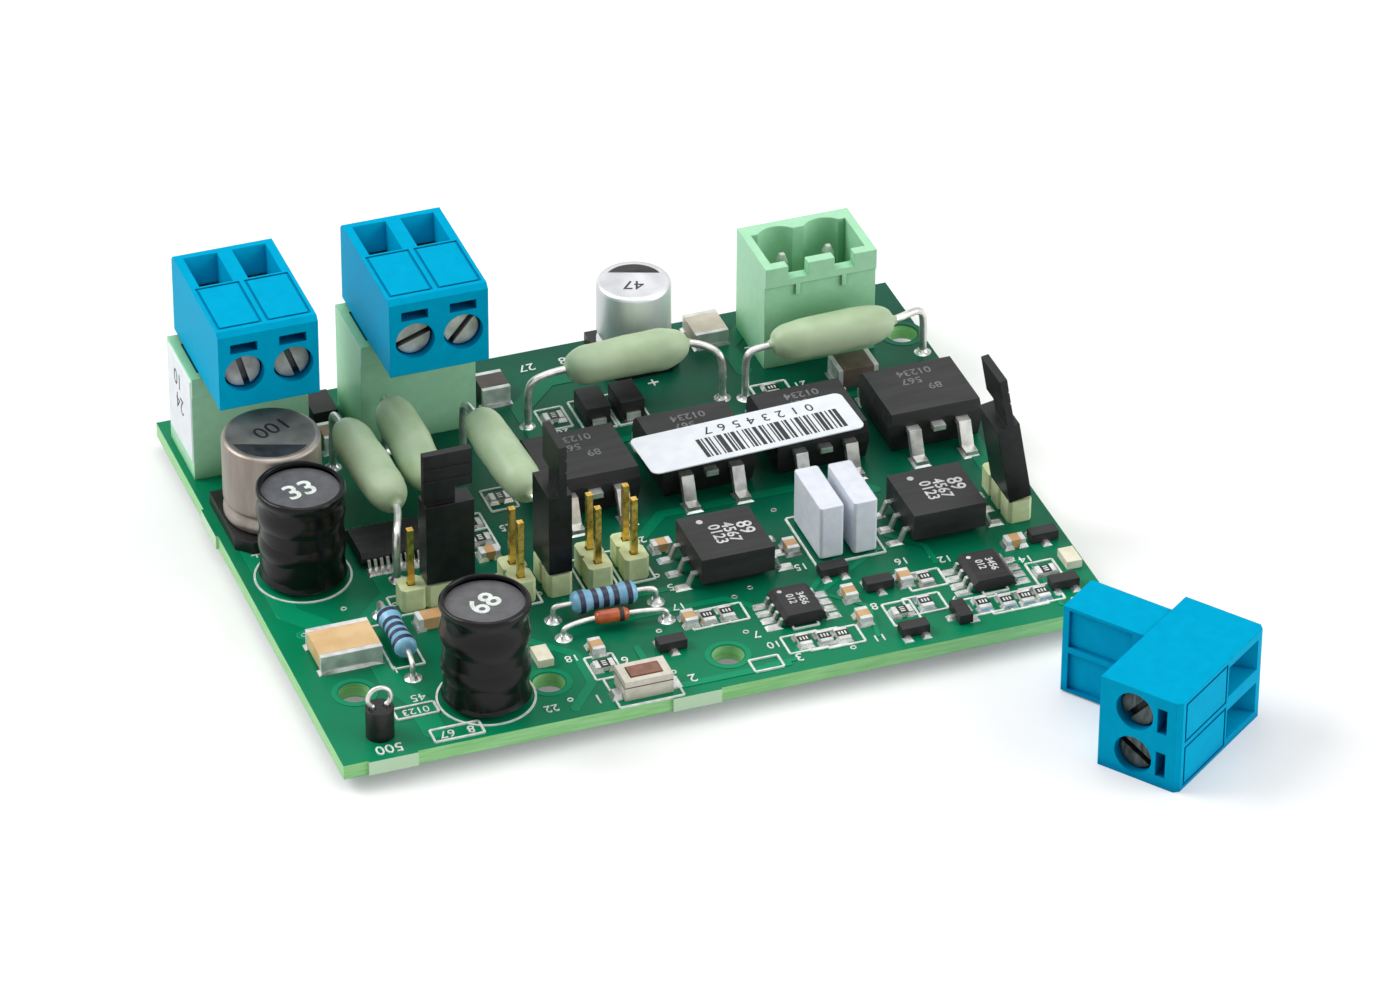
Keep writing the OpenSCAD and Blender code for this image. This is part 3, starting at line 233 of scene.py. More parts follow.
def resist_paint(name, dark, light, rim):
    """Solder resist, made paler along the left and front edges by painted light and darker towards
    the middle, with the laminate's bare edge below it."""
    material, tree, shader, place = blank(name, 0.34, 0.0, 0.16)
    x, y, z = axes(tree, place)
    lit_resist = shades(tree, noise(tree, place, 70, 4), dark, light)
    # Painted light: the resist turns to the paler rim colour towards the left and front edges.
    lit_left_edge = ranged(tree, x, 1.0, 0.0, -board_w / 2 * mm, (edge_light_reach - board_w / 2) * mm)
    lit_front_edge = ranged(tree, y, 1.0, 0.0, -board_d / 2 * mm, (edge_light_reach - board_d / 2) * mm)
    lit_resist = either(tree, sums(tree, "MAXIMUM", lit_left_edge, lit_front_edge), lit_resist, rim)
    off_middle = sums(tree, "ABSOLUTE", sums(tree, "SUBTRACT", z, board_t / 2 * mm))
    bare = sums(tree, "LESS_THAN", off_middle, (board_t / 2 - edge_band) * mm)
    cloth = noise(tree, place, 900, 2, (0.3, 0.3, 4))
    laminate = shades(tree, cloth, tone(138, 204, 130), tone(166, 224, 158), 0.3, 0.7)
    snapped = sums(tree, "LESS_THAN", y, -(board_d / 2 + stub_from) * mm)
    at_left = sums(tree, "LESS_THAN", x, -(board_w / 2 + stub_from) * mm)
    laminate = either(tree, sums(tree, "MAXIMUM", snapped, at_left), laminate, tone(198, 228, 194))
    tree.links.new(either(tree, bare, lit_resist, laminate), shader.inputs["Base Color"])
    fine = noise(tree, place, 1600, 3)
    tree.links.new(ranged(tree, fine, 0.22, 0.42), shader.inputs["Roughness"])
    relief(tree, shader, fine, 0.03, 0.35)
    return material


dress(resist_paint("solder_resist", tone(0, 76, 56), tone(0, 99, 71), tone(0, 130, 87)), "circuit_board")

# Copper tracks and pours. Etched foil under the resist on both faces, which stands a hair
# proud of the laminate and shows as a lighter green.
track_h, foil_sink, film_step = 0.04, 0.01, 0.0005
strip_in = (0.98, 0.98, 1)
weld_gap, smooth_angle = 0.0001, math.radians(40)
copper_runs = [
    (1.6, [(3, 22), (9, 22), (13, 26), (13, 30)]),
    (2.4, [(2.5, 47), (2.5, 26), (5, 23)]),
    (1.0, [(24, 1.5), (27, 5), (27, 10), (23, 14), (23, 20)]),
    (2.4, [(10, 2.5), (10, 8), (8.6, 11), (8.6, 19)]),
    (0.8, [(29, 19), (34, 14), (44, 14), (46, 12)]),
    (0.8, [(31, 19), (35.5, 17.5), (41, 17.5)]),
    (1.2, [(40, 27), (43, 30), (62, 30), (65, 27)]),
    (0.6, [(52, 12), (58, 18), (58, 27)]),
    (0.6, [(53.5, 12), (61, 17), (64, 17)]),
    (0.6, [(66, 13), (66, 16), (63, 19)]),
    (1.4, [(77, 24), (77, 40), (74, 43)]),
    (2.2, [(36, 45), (36, 53), (40, 57), (46, 57)]),
    (1.8, [(60, 52), (60, 57), (63, 60)]),
    (2.6, [(12, 45), (12, 51)]),
    (1.6, [(24, 45), (24, 50)]),
    (0.5, [(44, 2), (47, 2), (49, 6)]),
    (0.5, [(56, 3), (57, 8), (54, 11)]),
    (0.5, [(73, 11), (75, 9), (75, 2)]),
    (0.9, [(35, 1.6), (46, 1.6)]),
    (0.7, [(18, 12), (18, 18), (21, 21)]),
    (0.7, [(33, 9), (33, 5.5)]),
    (1.0, [(78, 28), (78, 44)]),
    (1.0, [(41, 44), (57, 44)]),
    (1.0, [(64, 44), (76, 44)]),
]


def at(x, y, z=0.0, heading=0.0, size=(1, 1, 1), tilt=0.0):
    """A place on the board's top in millimetres from its front left corner, as a matrix that
    also brings a piece modelled in millimetres to metres."""
    spot = Vector((x - board_w / 2, y - board_d / 2, z + board_t)) * mm
    turn = Matrix.Rotation(math.radians(heading), 4, "Z") @ Matrix.Rotation(math.radians(tilt), 4, "Y")
    return Matrix.Translation(spot) @ turn @ Matrix.Diagonal([s * mm for s in size] + [1])


def joined(name, parts):
    """Joins finished meshes to one piece."""
    bpy.ops.object.select_all(action="DESELECT")
    for part in parts:
        part.select_set(True)
    bpy.context.view_layer.objects.active = parts[0]
    if len(parts) > 1:
        bpy.ops.object.join()
    parts[0].name = parts[0].data.name = name
    return parts[0]


def stamp(name, master, places):
    """Copies a modelled master to each place and joins the copies to one piece."""
    copies = []
    for place in places:
        copy = master.copy()
        copy.data = master.data.copy()
        copy.data.transform(place)
        scene.collection.objects.link(copy)
        copies.append(copy)
    return joined(name, copies)


def keep(piece, material, body="module", stands_for=()):
    """Finishes a piece: its material, the body it rides on and the node it replaces."""
    piece.data.materials.clear()
    piece.data.materials.append(material)
    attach(piece, body)
    if stands_for:
        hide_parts(*stands_for)
    piece.select_set(False)


def strip_master():
    """Flat strip, one millimetre each way, with its upper edges broken."""
    bpy.ops.object.select_all(action="DESELECT")
    bpy.ops.mesh.primitive_cube_add(size=1, location=(0, 0, 0.5))
    strip = bpy.context.object
    bpy.ops.object.transform_apply(location=True)
    bpy.ops.object.mode_set(mode="EDIT")
    bpy.ops.mesh.select_mode(type="FACE")
    bpy.ops.mesh.select_all(action="DESELECT")
    bpy.ops.object.mode_set(mode="OBJECT")
    for face in strip.data.polygons:
        face.select = face.normal.z > 0.5
    bpy.ops.object.mode_set(mode="EDIT")
    bpy.ops.transform.resize(value=strip_in, center_override=(0, 0, 1))
    bpy.ops.object.mode_set(mode="OBJECT")
    return strip


def turned(name, profile, sides=48, ring=False):
    """Turns a profile of (radius, height) points about Z: a circle is drawn out point by point."""
    bpy.ops.object.select_all(action="DESELECT")
    bpy.ops.mesh.primitive_circle_add(vertices=sides, radius=profile[0][0], location=(0, 0, profile[0][1]))
    piece = bpy.context.object
    piece.name = piece.data.name = name
    bpy.ops.object.transform_apply(location=True)
    bpy.ops.object.mode_set(mode="EDIT")
    bpy.ops.mesh.select_mode(type="VERT")
    bpy.ops.mesh.select_all(action="SELECT")
    for (r0, z0), (r1, z1) in zip(profile, profile[1:]):
        bpy.ops.mesh.extrude_region_move(TRANSFORM_OT_translate={"value": (0, 0, z1 - z0)})
        bpy.ops.transform.resize(value=(r1 / r0, r1 / r0, 1), center_override=(0, 0, z1))
    bpy.ops.mesh.select_all(action="SELECT")
    if ring:
        bpy.ops.mesh.remove_doubles(threshold=weld_gap)
    else:
        bpy.ops.mesh.fill_holes(sides=0)
        bpy.ops.mesh.select_all(action="SELECT")
    bpy.ops.mesh.normals_make_consistent(inside=False)
    bpy.ops.object.mode_set(mode="OBJECT")
    bpy.ops.object.shade_smooth_by_angle(angle=smooth_angle)
    return piece


def along_runs(runs, below):
    """Places for the strips of runs given by width and corners, and for the rounds at the corners.
    Each lies a hair higher than the one before, so that no two faces share a plane."""
    straights, corners, height = [], [], track_h
    for width, points in runs:
        for (x0, y0), (x1, y1) in zip(points, points[1:]):
            heading = math.degrees(math.atan2(y1 - y0, x1 - x0))
            length = math.hypot(x1 - x0, y1 - y0)
            height += film_step
            level = foil_sink - board_t - height if below else -foil_sink
            straights.append(at((x0 + x1) / 2, (y0 + y1) / 2, level, heading, (length, width, height)))
        for x, y in points:
            height += film_step
            level = foil_sink - board_t - height if below else -foil_sink
            corners.append(at(x, y, level, 0, (width, width, height)))
    return straights, corners


strip = strip_master()
dot = turned("dot", [(0.5, 0), (0.5, 0.8), (0.44, 1)], 24)
# The resist over the runs takes the same painted light, paler along the left and front edges.
foil_paint = resist_paint("resist_over_copper", tone(0, 102, 71), tone(0, 119, 83), tone(6, 147, 101))
for name, below in (("copper_runs_top", False), ("copper_runs_below", True)):
    straights, corners = along_runs(copper_runs, below)
    parts = [stamp(name, strip, straights), stamp(name + "_corners", dot, corners)]
    keep(joined(name, parts), foil_paint)

# Fixing-hole lands and vias. Rings of etched copper around the drilled holes: the broad lands lie
# under green resist, and the vias' small rims are bare and tinned.
fixing_holes = [(4.7, 11.1), (23, 6.4), (41, 4.9), (78, 53.1)]
via_spots = [
    (8, 25), (24, 3), (27, 21), (36, 11), (45, 14), (47, 15), (58, 28), (61, 17), (66, 14), (63, 27),
    (70, 28), (54, 27), (76, 30), (75, 9), (57, 8), (44, 8), (39, 20), (21, 27), (25, 42), (33, 44),
    (50, 45), (66, 44), (39, 57), (47, 53), (3, 22), (13, 24), (20, 14), (35, 4), (53, 2), (66, 8),
]


def metal_finish(
    name, dark, light, rough, scale=900, stretch=(1, 1, 1), depth=0.02, rounding=0.0, metal=1.0,
):
    """Bare metal, cloudy and faintly uneven; a dull plating is less of a mirror than a bright one."""
    material, tree, shader, place = blank(name, rough, metal)
    cloud = noise(tree, place, scale, 4, stretch)
    tree.links.new(shades(tree, cloud, dark, light), shader.inputs["Base Color"])
    tree.links.new(ranged(tree, cloud, rough * 0.7, rough * 1.35), shader.inputs["Roughness"])
    relief(tree, shader, cloud, depth, 0.5, rounding)
    return material


tinned = metal_finish(
    "tinned_metal", tone(196, 196, 192), tone(232, 232, 228), 0.3, rounding=0.06, metal=0.75,
)
solder = metal_finish(
    "bright_solder", tone(182, 184, 182), tone(236, 238, 236), 0.24, 700, depth=0.05, metal=0.75,
)
land = turned("land", [(1.75, 0), (2.3, 0), (2.3, 0.05), (1.75, 0.05), (1.75, 0)], 48, True)
keep(stamp("fixing_hole_lands", land, [at(x, y) for x, y in fixing_holes]), foil_paint)
via = turned("via", [(0.16, 0), (0.34, 0), (0.32, 0.05), (0.2, 0.05), (0.16, 0)], 16, True)
keep(stamp("via_rims", via, [at(x, y) for x, y in via_spots]), tinned)

# Wire ends of the parts that stand on the board. Tinned copper wire, bent over the end of each
# body, pushed through the board and soldered below it, with a low collar of solder on top.
wire_end, wire_inset, wire_reach, leg_half = -3.0, 0.4, 0.7, 2.5
bend_share, drop_shares = 0.8, (0.8, 0.4)
power_d, power_l, power_wire = 4.3, 13.2, 0.4
power_seats = [
    ((15.4, 39.4, 6.3), -84, 6, (14.6, 49.2), (14.5, 28)),
    ((20.4, 41.6, 6.3), -90, 6, (20.4, 50.2), (20.6, 31.4)),
    ((28.6, 36.6, 6.3), -84, 6, (27.6, 46.6), (29.6, 26.8)),
    ((46.6, 50.3, 5.8), 2, 0, (35.6, 49.6), (56.2, 48)),
    ((68, 47.4, 5.8), 1, 0, (58.4, 47.2), (78.8, 49.2)),
]
film_d, film_l, small_wire = 2.4, 6.8, 0.28
film_seats = [
    ((11, 17.2, 1.7), -90, 0, (11, 22.8), (10.8, 11.6)),
    ((32, 16, 1.7), 0, 0, (26.8, 16.2), (37.4, 15.8)),
]
diode_d, diode_l = 1.4, 3.6
diode_seat = ((31.9, 13.3, 1.3), -4, 0, (26.8, 13), (37.4, 12.6))
film_caps = [(56.4, 20.7), (59.9, 20.5)]
inductors = [(5.95, 31.8, 10.9), (16.5, 6.2, 11.7)]


def bent_wire(name, points, radius):
    """Round wire along a smooth run of points, made a mesh."""
    bpy.ops.object.select_all(action="DESELECT")
    bpy.ops.curve.primitive_nurbs_path_add()
    wire = bpy.context.object
    wire.name = name
    wire.data.splines.clear()
    run = wire.data.splines.new("NURBS")
    run.points.add(len(points) - 1)
    for spot, point in zip(run.points, points):
        spot.co = (*point, 1)
    run.order_u = 4
    run.use_endpoint_u = True
    run.resolution_u = 8
    wire.data.bevel_depth = radius
    wire.data.bevel_resolution = 4
    wire.data.use_fill_caps = True
    bpy.ops.object.convert(target="MESH")
    wire = bpy.context.object
    bpy.ops.object.mode_set(mode="EDIT")
    bpy.ops.mesh.select_all(action="SELECT")
    bpy.ops.mesh.remove_doubles(threshold=weld_gap)
    bpy.ops.mesh.normals_make_consistent(inside=False)
    bpy.ops.object.mode_set(mode="OBJECT")
    bpy.ops.object.shade_smooth_by_angle(angle=smooth_angle)
    wire.data.transform(at(0, 0))
    return wire


wires, wire_feet = [], []
for seats, length, radius in (
    (power_seats, power_l, power_wire),
    (film_seats, film_l, small_wire),
    ([diode_seat], diode_l, small_wire),
):
    for middle, heading, tilt, *feet in seats:
        turn = Matrix.Rotation(math.radians(heading), 3, "Z") @ Matrix.Rotation(math.radians(tilt), 3, "Y")
        axis = turn @ Vector((1, 0, 0))
        for side, (x, y) in zip((-1, 1), feet):
            start = Vector(middle) + side * axis * (length / 2 - wire_inset)
            out = Vector(middle) + side * axis * (length / 2 + wire_reach)
            over = out.lerp(Vector((x, y, out.z)), bend_share)
            drop = [(x, y, out.z * share) for share in drop_shares]
            run = [start, out, over] + drop + [(x, y, 0), (x, y, wire_end)]
            wires.append(bent_wire("wire", run, radius))
            wire_feet.append((x, y))
straight_feet = [(x, y + side * leg_half, small_wire, 0.3) for x, y in film_caps for side in (-1, 1)]
straight_feet += [(x + side * leg_half, y, power_wire, 0.4) for x, y, h in inductors for side in (-1, 1)]
for x, y, radius, top in straight_feet:
    wires.append(bent_wire("wire", [(x, y, top), (x, y, -1), (x, y, -2), (x, y, wire_end)], radius))
cone = turned("cone", [(0.95, 0), (0.7, -0.16), (0.5, -0.45), (0.36, -0.8)], 24)
collar = turned("collar", [(0.9, 0), (0.72, 0.1), (0.55, 0.24), (0.44, 0.42)], 24)
all_feet = wire_feet + [foot[:2] for foot in straight_feet]
cones = stamp("cones", cone, [at(x, y, -board_t) for x, y in all_feet])
keep(joined("component_wires", wires + [cones]), tinned, stands_for=["wire_leads"])
keep(stamp("wire_collars", collar, [at(x, y) for x, y in wire_feet]), solder)

# Surface solder. Each flat lead and chip end stands in a fillet of solder, melted on its pad in an
# oven, with sloped sides that climb the metal.
fillet_h = {"package_leads": 0.2, "chip_ends": 0.4}
fillet_w, fillet_d, foot_h, on_board = 0.55, 0.45, 0.3, 0.05
bank_in = (0.62, 0.74, 1)


def loose_parts(name):
    """The points of each separate solid in a CAD node, read from a merged copy."""
    bpy.ops.object.select_all(action="DESELECT")
    copy = nodes[name].copy()
    copy.data = nodes[name].data.copy()
    scene.collection.objects.link(copy)
    copy.select_set(True)
    bpy.context.view_layer.objects.active = copy
    bpy.ops.object.mode_set(mode="EDIT")
    bpy.ops.mesh.select_all(action="SELECT")
    bpy.ops.mesh.remove_doubles(threshold=0.001 * mm)
    bpy.ops.mesh.separate(type="LOOSE")
    bpy.ops.object.mode_set(mode="OBJECT")
    parts = list(bpy.context.selected_objects)
    corner = Vector((board_w / 2, board_d / 2, -board_t))
    points = [[v.co / mm + corner for v in part.data.vertices] for part in parts]
    for part in parts:
        bpy.data.objects.remove(part)
    return points


def footprint(points, reach):
    """Middle and size of what a solid covers within a height above the board."""
    low = [p for p in points if p.z < reach]
    xs, ys = [p.x for p in low], [p.y for p in low]
    return (min(xs) + max(xs)) / 2, (min(ys) + max(ys)) / 2, max(xs) - min(xs), max(ys) - min(ys)


def fillet_master():
    """Sloped bank of solder, one millimetre each way, drawn in at the top."""
    bank = strip_master()
    bpy.ops.object.mode_set(mode="EDIT")
    bpy.ops.transform.resize(value=bank_in, center_override=(0, 0, 1))
    bpy.ops.object.mode_set(mode="OBJECT")
    return bank


bank = fillet_master()
bank_places = []
for name, height in fillet_h.items():
    for points in loose_parts(name):
        if min(p.z for p in points) < on_board:
            x, y, w, d = footprint(points, foot_h)
            bank_places.append(at(x, y, 0, 0, (w + fillet_w, d + fillet_d, height)))
keep(stamp("solder_fillets", bank, bank_places), solder)

# Printed marks. White epoxy ink, screened on the resist and over the copper runs: outlines,
# polarity marks and plain numbers.
ink_h, print_h, ink_line = 0.03, 0.11, 0.22
frame_across, frame_along, chip_h = 1.9, 2.6, 1


def plain_finish(
    name, dark, light, rough, scale=1200, depth=0.02, rounding=0.0, gloss=0.5, stretch=(1, 1, 1),
):
    """Moulded, painted or printed surface with slight cloudiness and a fine grain."""
    material, tree, shader, place = blank(name, rough, 0.0, gloss)
    cloud = noise(tree, place, scale, 4, stretch)
    tree.links.new(shades(tree, cloud, dark, light), shader.inputs["Base Color"])
    tree.links.new(ranged(tree, cloud, rough * 0.8, rough * 1.25), shader.inputs["Roughness"])
    relief(tree, shader, cloud, depth, 0.6, rounding)
    return material


def outline(x, y, w, d):
    """Middle and size of the four strips of a printed frame."""
    return [
        (x, y - d / 2, w, ink_line), (x, y + d / 2, w, ink_line),
        (x - w / 2, y, ink_line, d), (x + w / 2, y, ink_line, d),
    ]


def figures(text, size, place, bold=0.0):
    """A plain number as thin raised ink, with its strokes thickened where the print is bold."""
    bpy.ops.object.select_all(action="DESELECT")
    bpy.ops.object.text_add()
    mark = bpy.context.object
    mark.data.body = text
    mark.data.size = size
    mark.data.align_x = "CENTER"
    mark.data.align_y = "CENTER"
    mark.data.extrude = ink_h / 2
    mark.data.offset = bold
    mark.data.resolution_u = 3
    bpy.ops.object.convert(target="MESH")
    mark = bpy.context.object
    mark.data.transform(place)
    return mark


ink = plain_finish("white_ink", tone(206, 216, 208), tone(238, 244, 238), 0.6)
frames = []
for points in loose_parts("chip_resistors"):
    x, y, w, d = footprint(points, chip_h)
    more_w, more_d = (frame_across, frame_along) if w < d else (frame_along, frame_across)
    frames += outline(x, y, w + more_w, d + more_d)
for x, y, w, d in (
    (31.4, 2.5, 6.6, 5), (17, 23.5, 9, 3.4), (25.1, 22.4, 3.4, 6), (33.1, 22.2, 3.4, 6),
    (37, 22.5, 3.4, 6), (49.9, 9.6, 2.6, 5.8), (69.7, 8.9, 2.6, 5.8), (58.2, 20.6, 7.4, 8.8),
    (11, 17.2, 3.2, 7.6), (42.5, 49.4, 3.4, 5.8), (46.2, 49.4, 3.4, 5.8), (44, 2.2, 3, 2),
    (9.3, 6.2, 4.2, 1.8), (12, 1.6, 5, 2),
):
    frames += outline(x, y, w, d)
frame_places = [
    at(x, y, 0, 0, (w, d, print_h + i * film_step)) for i, (x, y, w, d) in enumerate(frames, 1)
]
circle = turned("circle", [(4.7, 0), (4.92, 0), (4.92, print_h), (4.7, print_h), (4.7, 0)], 64, True)
rings = stamp("rings", circle, [at(x, y) for x, y, h in inductors])
numbers = [
    figures(text, size, at(x, y, print_h / 2, heading, (1, 1, print_h / ink_h)))
    for text, size, x, y, heading in (
        ("500", 1.9, 5, 1.2, 180), ("1", 2.0, 26.6, 2.2, 180), ("2", 1.8, 36.4, 2.4, 180),
        ("3", 1.8, 47.4, 2.2, 180), ("+", 2.4, 50.4, 52.8, 0), ("1", 1.6, 9.6, 13.4, 180),
        ("4", 1.6, 21.6, 16.8, 180), ("5", 1.6, 39.6, 17.6, 180), ("6", 1.6, 31.2, 7.4, 180),
        ("7", 1.6, 44.8, 7.2, 180), ("8", 1.6, 57.4, 7.8, 180), ("9", 1.6, 65.4, 6.2, 180),
        ("1", 2.0, 30.6, 52.6, 180), ("2", 2.0, 62, 55.4, 180), ("3", 1.8, 74.6, 56.4, 180),
        ("+", 2.2, 2.6, 36.6, 0), ("10", 1.5, 45.8, 5, 180), ("11", 1.5, 56, 2.6, 180),
        ("12", 1.5, 67, 13.1, 180), ("14", 1.5, 74.6, 10.4, 180), ("15", 1.5, 53, 16.6, 180),
        ("16", 1.5, 62.8, 14.2, 180), ("17", 1.5, 39.2, 14.2, 180), ("18", 1.5, 26.4, 9.4, 180),
        ("19", 1.5, 18.6, 15.6, 180), ("20", 1.5, 38.6, 47.4, 180), ("21", 1.5, 64.6, 47.6, 180),
        ("22", 1.5, 21.8, 2.2, 180), ("23", 1.5, 76.8, 2.2, 180), ("0123", 1.4, 9.3, 6.2, 180),
        ("45", 1.6, 10.2, 8.2, 180), ("67", 1.6, 11, 1.6, 180), ("8", 1.6, 13.4, 1.6, 180),
        ("25", 1.5, 27.6, 33, 180), ("26", 1.5, 39.4, 26.4, 180), ("27", 1.8, 39, 60, 180),
        ("28", 1.8, 43.4, 60, 180),
    )
]
keep(joined("printed_marks", [stamp("frames", strip, frame_places), rings] + numbers), ink)

# Terminal headers. Mint-green glass-filled polyamide, injection moulded and open at the top, with
# two square tinned pins in each that are soldered through the board.
deep_from, deep_to = 0.35, 0.8


def paint_shade_in_hollows(material, reach, dull):
    """Paints shade into a finish where it lies deep, as in a moulded well or the slot of a screw."""
    tree = material.node_tree
    base = tree.nodes["Principled BSDF"].inputs["Base Color"]
    hollow = tree.nodes.new("ShaderNodeAmbientOcclusion")
    hollow.samples = 8
    hollow.inputs["Distance"].default_value = reach * mm
    open_share = ranged(tree, hollow.outputs["AO"], 0.0, 1.0, deep_from, deep_to)
    tree.links.new(either(tree, open_share, dull, base.links[0].from_socket), base)


mint = plain_finish("header_mint", tone(168, 224, 184), tone(174, 230, 190), 0.42, 900, 0.004, 0.12, 0.3)
# Painted shade: the mint darkens inside the headers' wells and close to other parts.
paint_shade_in_hollows(mint, 4, tone(100, 172, 120))
dress(mint, "header_a", "header_b", "header_c")
dress(tinned, "header_pins")

# Sticker on the first header's outer side. White paper printed with plain figures in black, with a
# gummed back, pressed on by hand.
sticker_h, sticker_w, sticker_t = 9.8, 7.8, 0.12
sticker_ink = plain_finish("black_ink", tone(22, 22, 24), tone(40, 40, 42), 0.55)
paper = plain_finish("label_paper", tone(228, 233, 238), tone(237, 241, 246), 0.55, 700, 0.006)
side_turn = Matrix.Rotation(math.radians(-90), 4, "Y")
sticker_spot = at(0.7, 55.6, 6.9) @ side_turn
upright = Matrix.Rotation(math.pi / 2, 4, "Z")
sticker = strip_master()
sticker.name = sticker.data.name = "header_sticker"
sticker.data.transform(sticker_spot @ Matrix.Diagonal((sticker_h, sticker_w, sticker_t, 1)))
keep(sticker, paper)
sticker_marks = [
    figures(text, 2.6, sticker_spot @ Matrix.Translation((x, y, sticker_t)) @ upright)
    for text, x, y in (("10", 2.6, 0.6), ("24", 0, 0))
]
keep(joined("header_sticker_figures", sticker_marks), sticker_ink)

# Terminal plugs. Moulded cyan-blue polyamide housings that push into the headers, with slotted
# screws of plated steel, and clamps and contacts of plated brass inside.
blue = plain_finish("plug_blue", tone(0, 163, 206), tone(0, 169, 212), 0.38, 800, 0.004, 0.12, 0.01)
# Painted shade: the blue darkens inside the wire entries and screw wells.
paint_shade_in_hollows(blue, 3, tone(0, 114, 166))
dress(blue, "plug_a_housing", "plug_b_housing", "loose_plug_housing")
brushed = (1, 6, 1)
steel = metal_finish(
    "screw_steel", tone(186, 188, 188), tone(236, 238, 238), 0.36, 500, brushed, 0.03, 0.08, 0.8,
)
# The loose plug's screws take a darker copy of the same steel: painted shade, for the shade deep in their
# holes.
shaded_steel = metal_finish(
    "painted_shade_steel", tone(44, 52, 54), tone(96, 104, 102), 0.45, 500, brushed, 0.03, 0.08, 0.8,
)
# Painted shade in the screw slots and holes, for both steels.
for metal in (steel, shaded_steel):
    paint_shade_in_hollows(metal, 0.8, tone(40, 42, 42))
brass = metal_finish("plated_brass", tone(170, 150, 92), tone(222, 200, 130), 0.34, rounding=0.06)
for plug, metal in (("plug_a", steel), ("plug_b", steel), ("loose_plug", shaded_steel)):
    dress(metal, plug + "_screw_1", plug + "_screw_2")
    dress(brass, plug + "_clamp_1", plug + "_clamp_2", plug + "_contacts")

# Option pins and jumpers. Pale green strip bases, square gold-plated pins, and black jumpers with
# a tall handle that each bridge two pins.
strip_green = plain_finish(
    "strip_green", tone(196, 210, 160), tone(212, 224, 176), 0.48, 1000, 0.02, 0.1, 0.35,
)
tinned_below = 0.1
dress(strip_green, "option_strips")


def gold_finish():
    """Gold plate above the board and tinned ends below it."""
    material, tree, shader, place = blank("gold_plate", 0.28, 1.0)
    cloud = noise(tree, place, 1500, 3)
    below = sums(tree, "LESS_THAN", axes(tree, place)[2], tinned_below * mm)
    gold = shades(tree, cloud, tone(196, 150, 62), tone(240, 204, 112))
    tree.links.new(either(tree, below, gold, tone(206, 206, 202)), shader.inputs["Base Color"])
    tree.links.new(ranged(tree, cloud, 0.2, 0.38), shader.inputs["Roughness"])
    relief(tree, shader, cloud, 0.02, 0.5, 0.1)
    return material


dress(gold_finish(), "option_pins")
jumper_black = plain_finish("jumper_black", tone(14, 14, 15), tone(26, 26, 27), 0.3, 900, 0.02, 0.1, 0.35)
dress(jumper_black, "jumper_1", "jumper_2", "jumper_3")
dress(brass, "jumper_1_clip", "jumper_2_clip", "jumper_3_clip")

# Power resistors. Wound ceramic rods dipped in sage-green lacquer, which rounds the shoulders and
# runs a little way along the wires.
lump_size, lump_h, lump_shift = 3.0, 0.35, 7.0
coat_level, end_share, coat_over, swell_at = 0.62, 0.34, 0.02, 0.24


def dipped(name, profile, seed):
    """A turned body with the slight unevenness of a dipped coat."""
    body = turned(name, profile, 40)
    lumps = bpy.data.textures.new(name + "_lumps", "CLOUDS")
    lumps.noise_scale = lump_size
    lumps.noise_depth = 1
    body.data.transform(Matrix.Translation((seed * lump_shift, 0, 0)))
    coat = body.modifiers.new("coat", "DISPLACE")
    coat.texture = lumps
    coat.texture_coords = "LOCAL"
    coat.strength = lump_h
    coat.mid_level = coat_level
    bpy.context.view_layer.objects.active = body
    body.select_set(True)
    bpy.ops.object.modifier_apply(modifier="coat")
    body.data.transform(Matrix.Translation((-seed * lump_shift, 0, 0)))
    return body


def lying(seat):
    """Place of a body modelled along Z that lies along its seat's heading."""
    middle, heading, tilt = seat[:3]
    return at(*middle, heading, tilt=tilt) @ Matrix.Rotation(math.pi / 2, 4, "Y")


def shoulder_profile(d, l, end, wire):
    """A dipped body's outline: half of it from the wire to the middle, and then its mirror image."""
    r = d / 2
    half = [(wire, -l / 2 - 0.5), (wire * 1.25, -l / 2 - 0.25)]
    steps = 8
    for step in range(steps + 1):
        a = math.radians(step * 90 / steps)
        half.append((end * r + (1 - end) * r * math.sin(a), -l / 2 + swell_at * l * (1 - math.cos(a))))
    middle = [(r * 1.005, -l / 6), (r * 1.01, 0)]
    lower = half + middle
    return lower + [(radius, -z) for radius, z in reversed(lower[:-1])]


sage = plain_finish("sage_lacquer", tone(166, 188, 150), tone(184, 204, 168), 0.42, 260, 0.06, 0.0, 0.4)
coat_profile = shoulder_profile(power_d, power_l, end_share, power_wire + coat_over)
for i, seat in enumerate(power_seats, 1):
    body = dipped(f"power_resistor_{i}_coat", coat_profile, i)
    body.data.transform(lying(seat))
    keep(body, sage, stands_for=[f"power_resistor_{i}"])

# Film resistors. Ceramic rods with caps pressed on their ends, under pale blue lacquer that is ringed
# with dark painted bands.
waist_share, band_half = 0.85, 0.3


def capped_profile(d, l):
    """Outline of a small resistor: thicker over the caps, with a waist between."""
    r = d / 2
    half = [
        (0.45 * r, -l / 2), (0.72 * r, -l / 2 + 0.12), (0.92 * r, -l / 2 + 0.4), (r, -l / 2 + 0.8),
        (0.99 * r, -l / 2 + 1.3), (0.9 * r, -l / 2 + 1.7), (0.86 * r, -l / 2 + 2.1), (waist_share * r, -0.4),
    ]
    return half + [(radius, -z) for radius, z in reversed(half)]


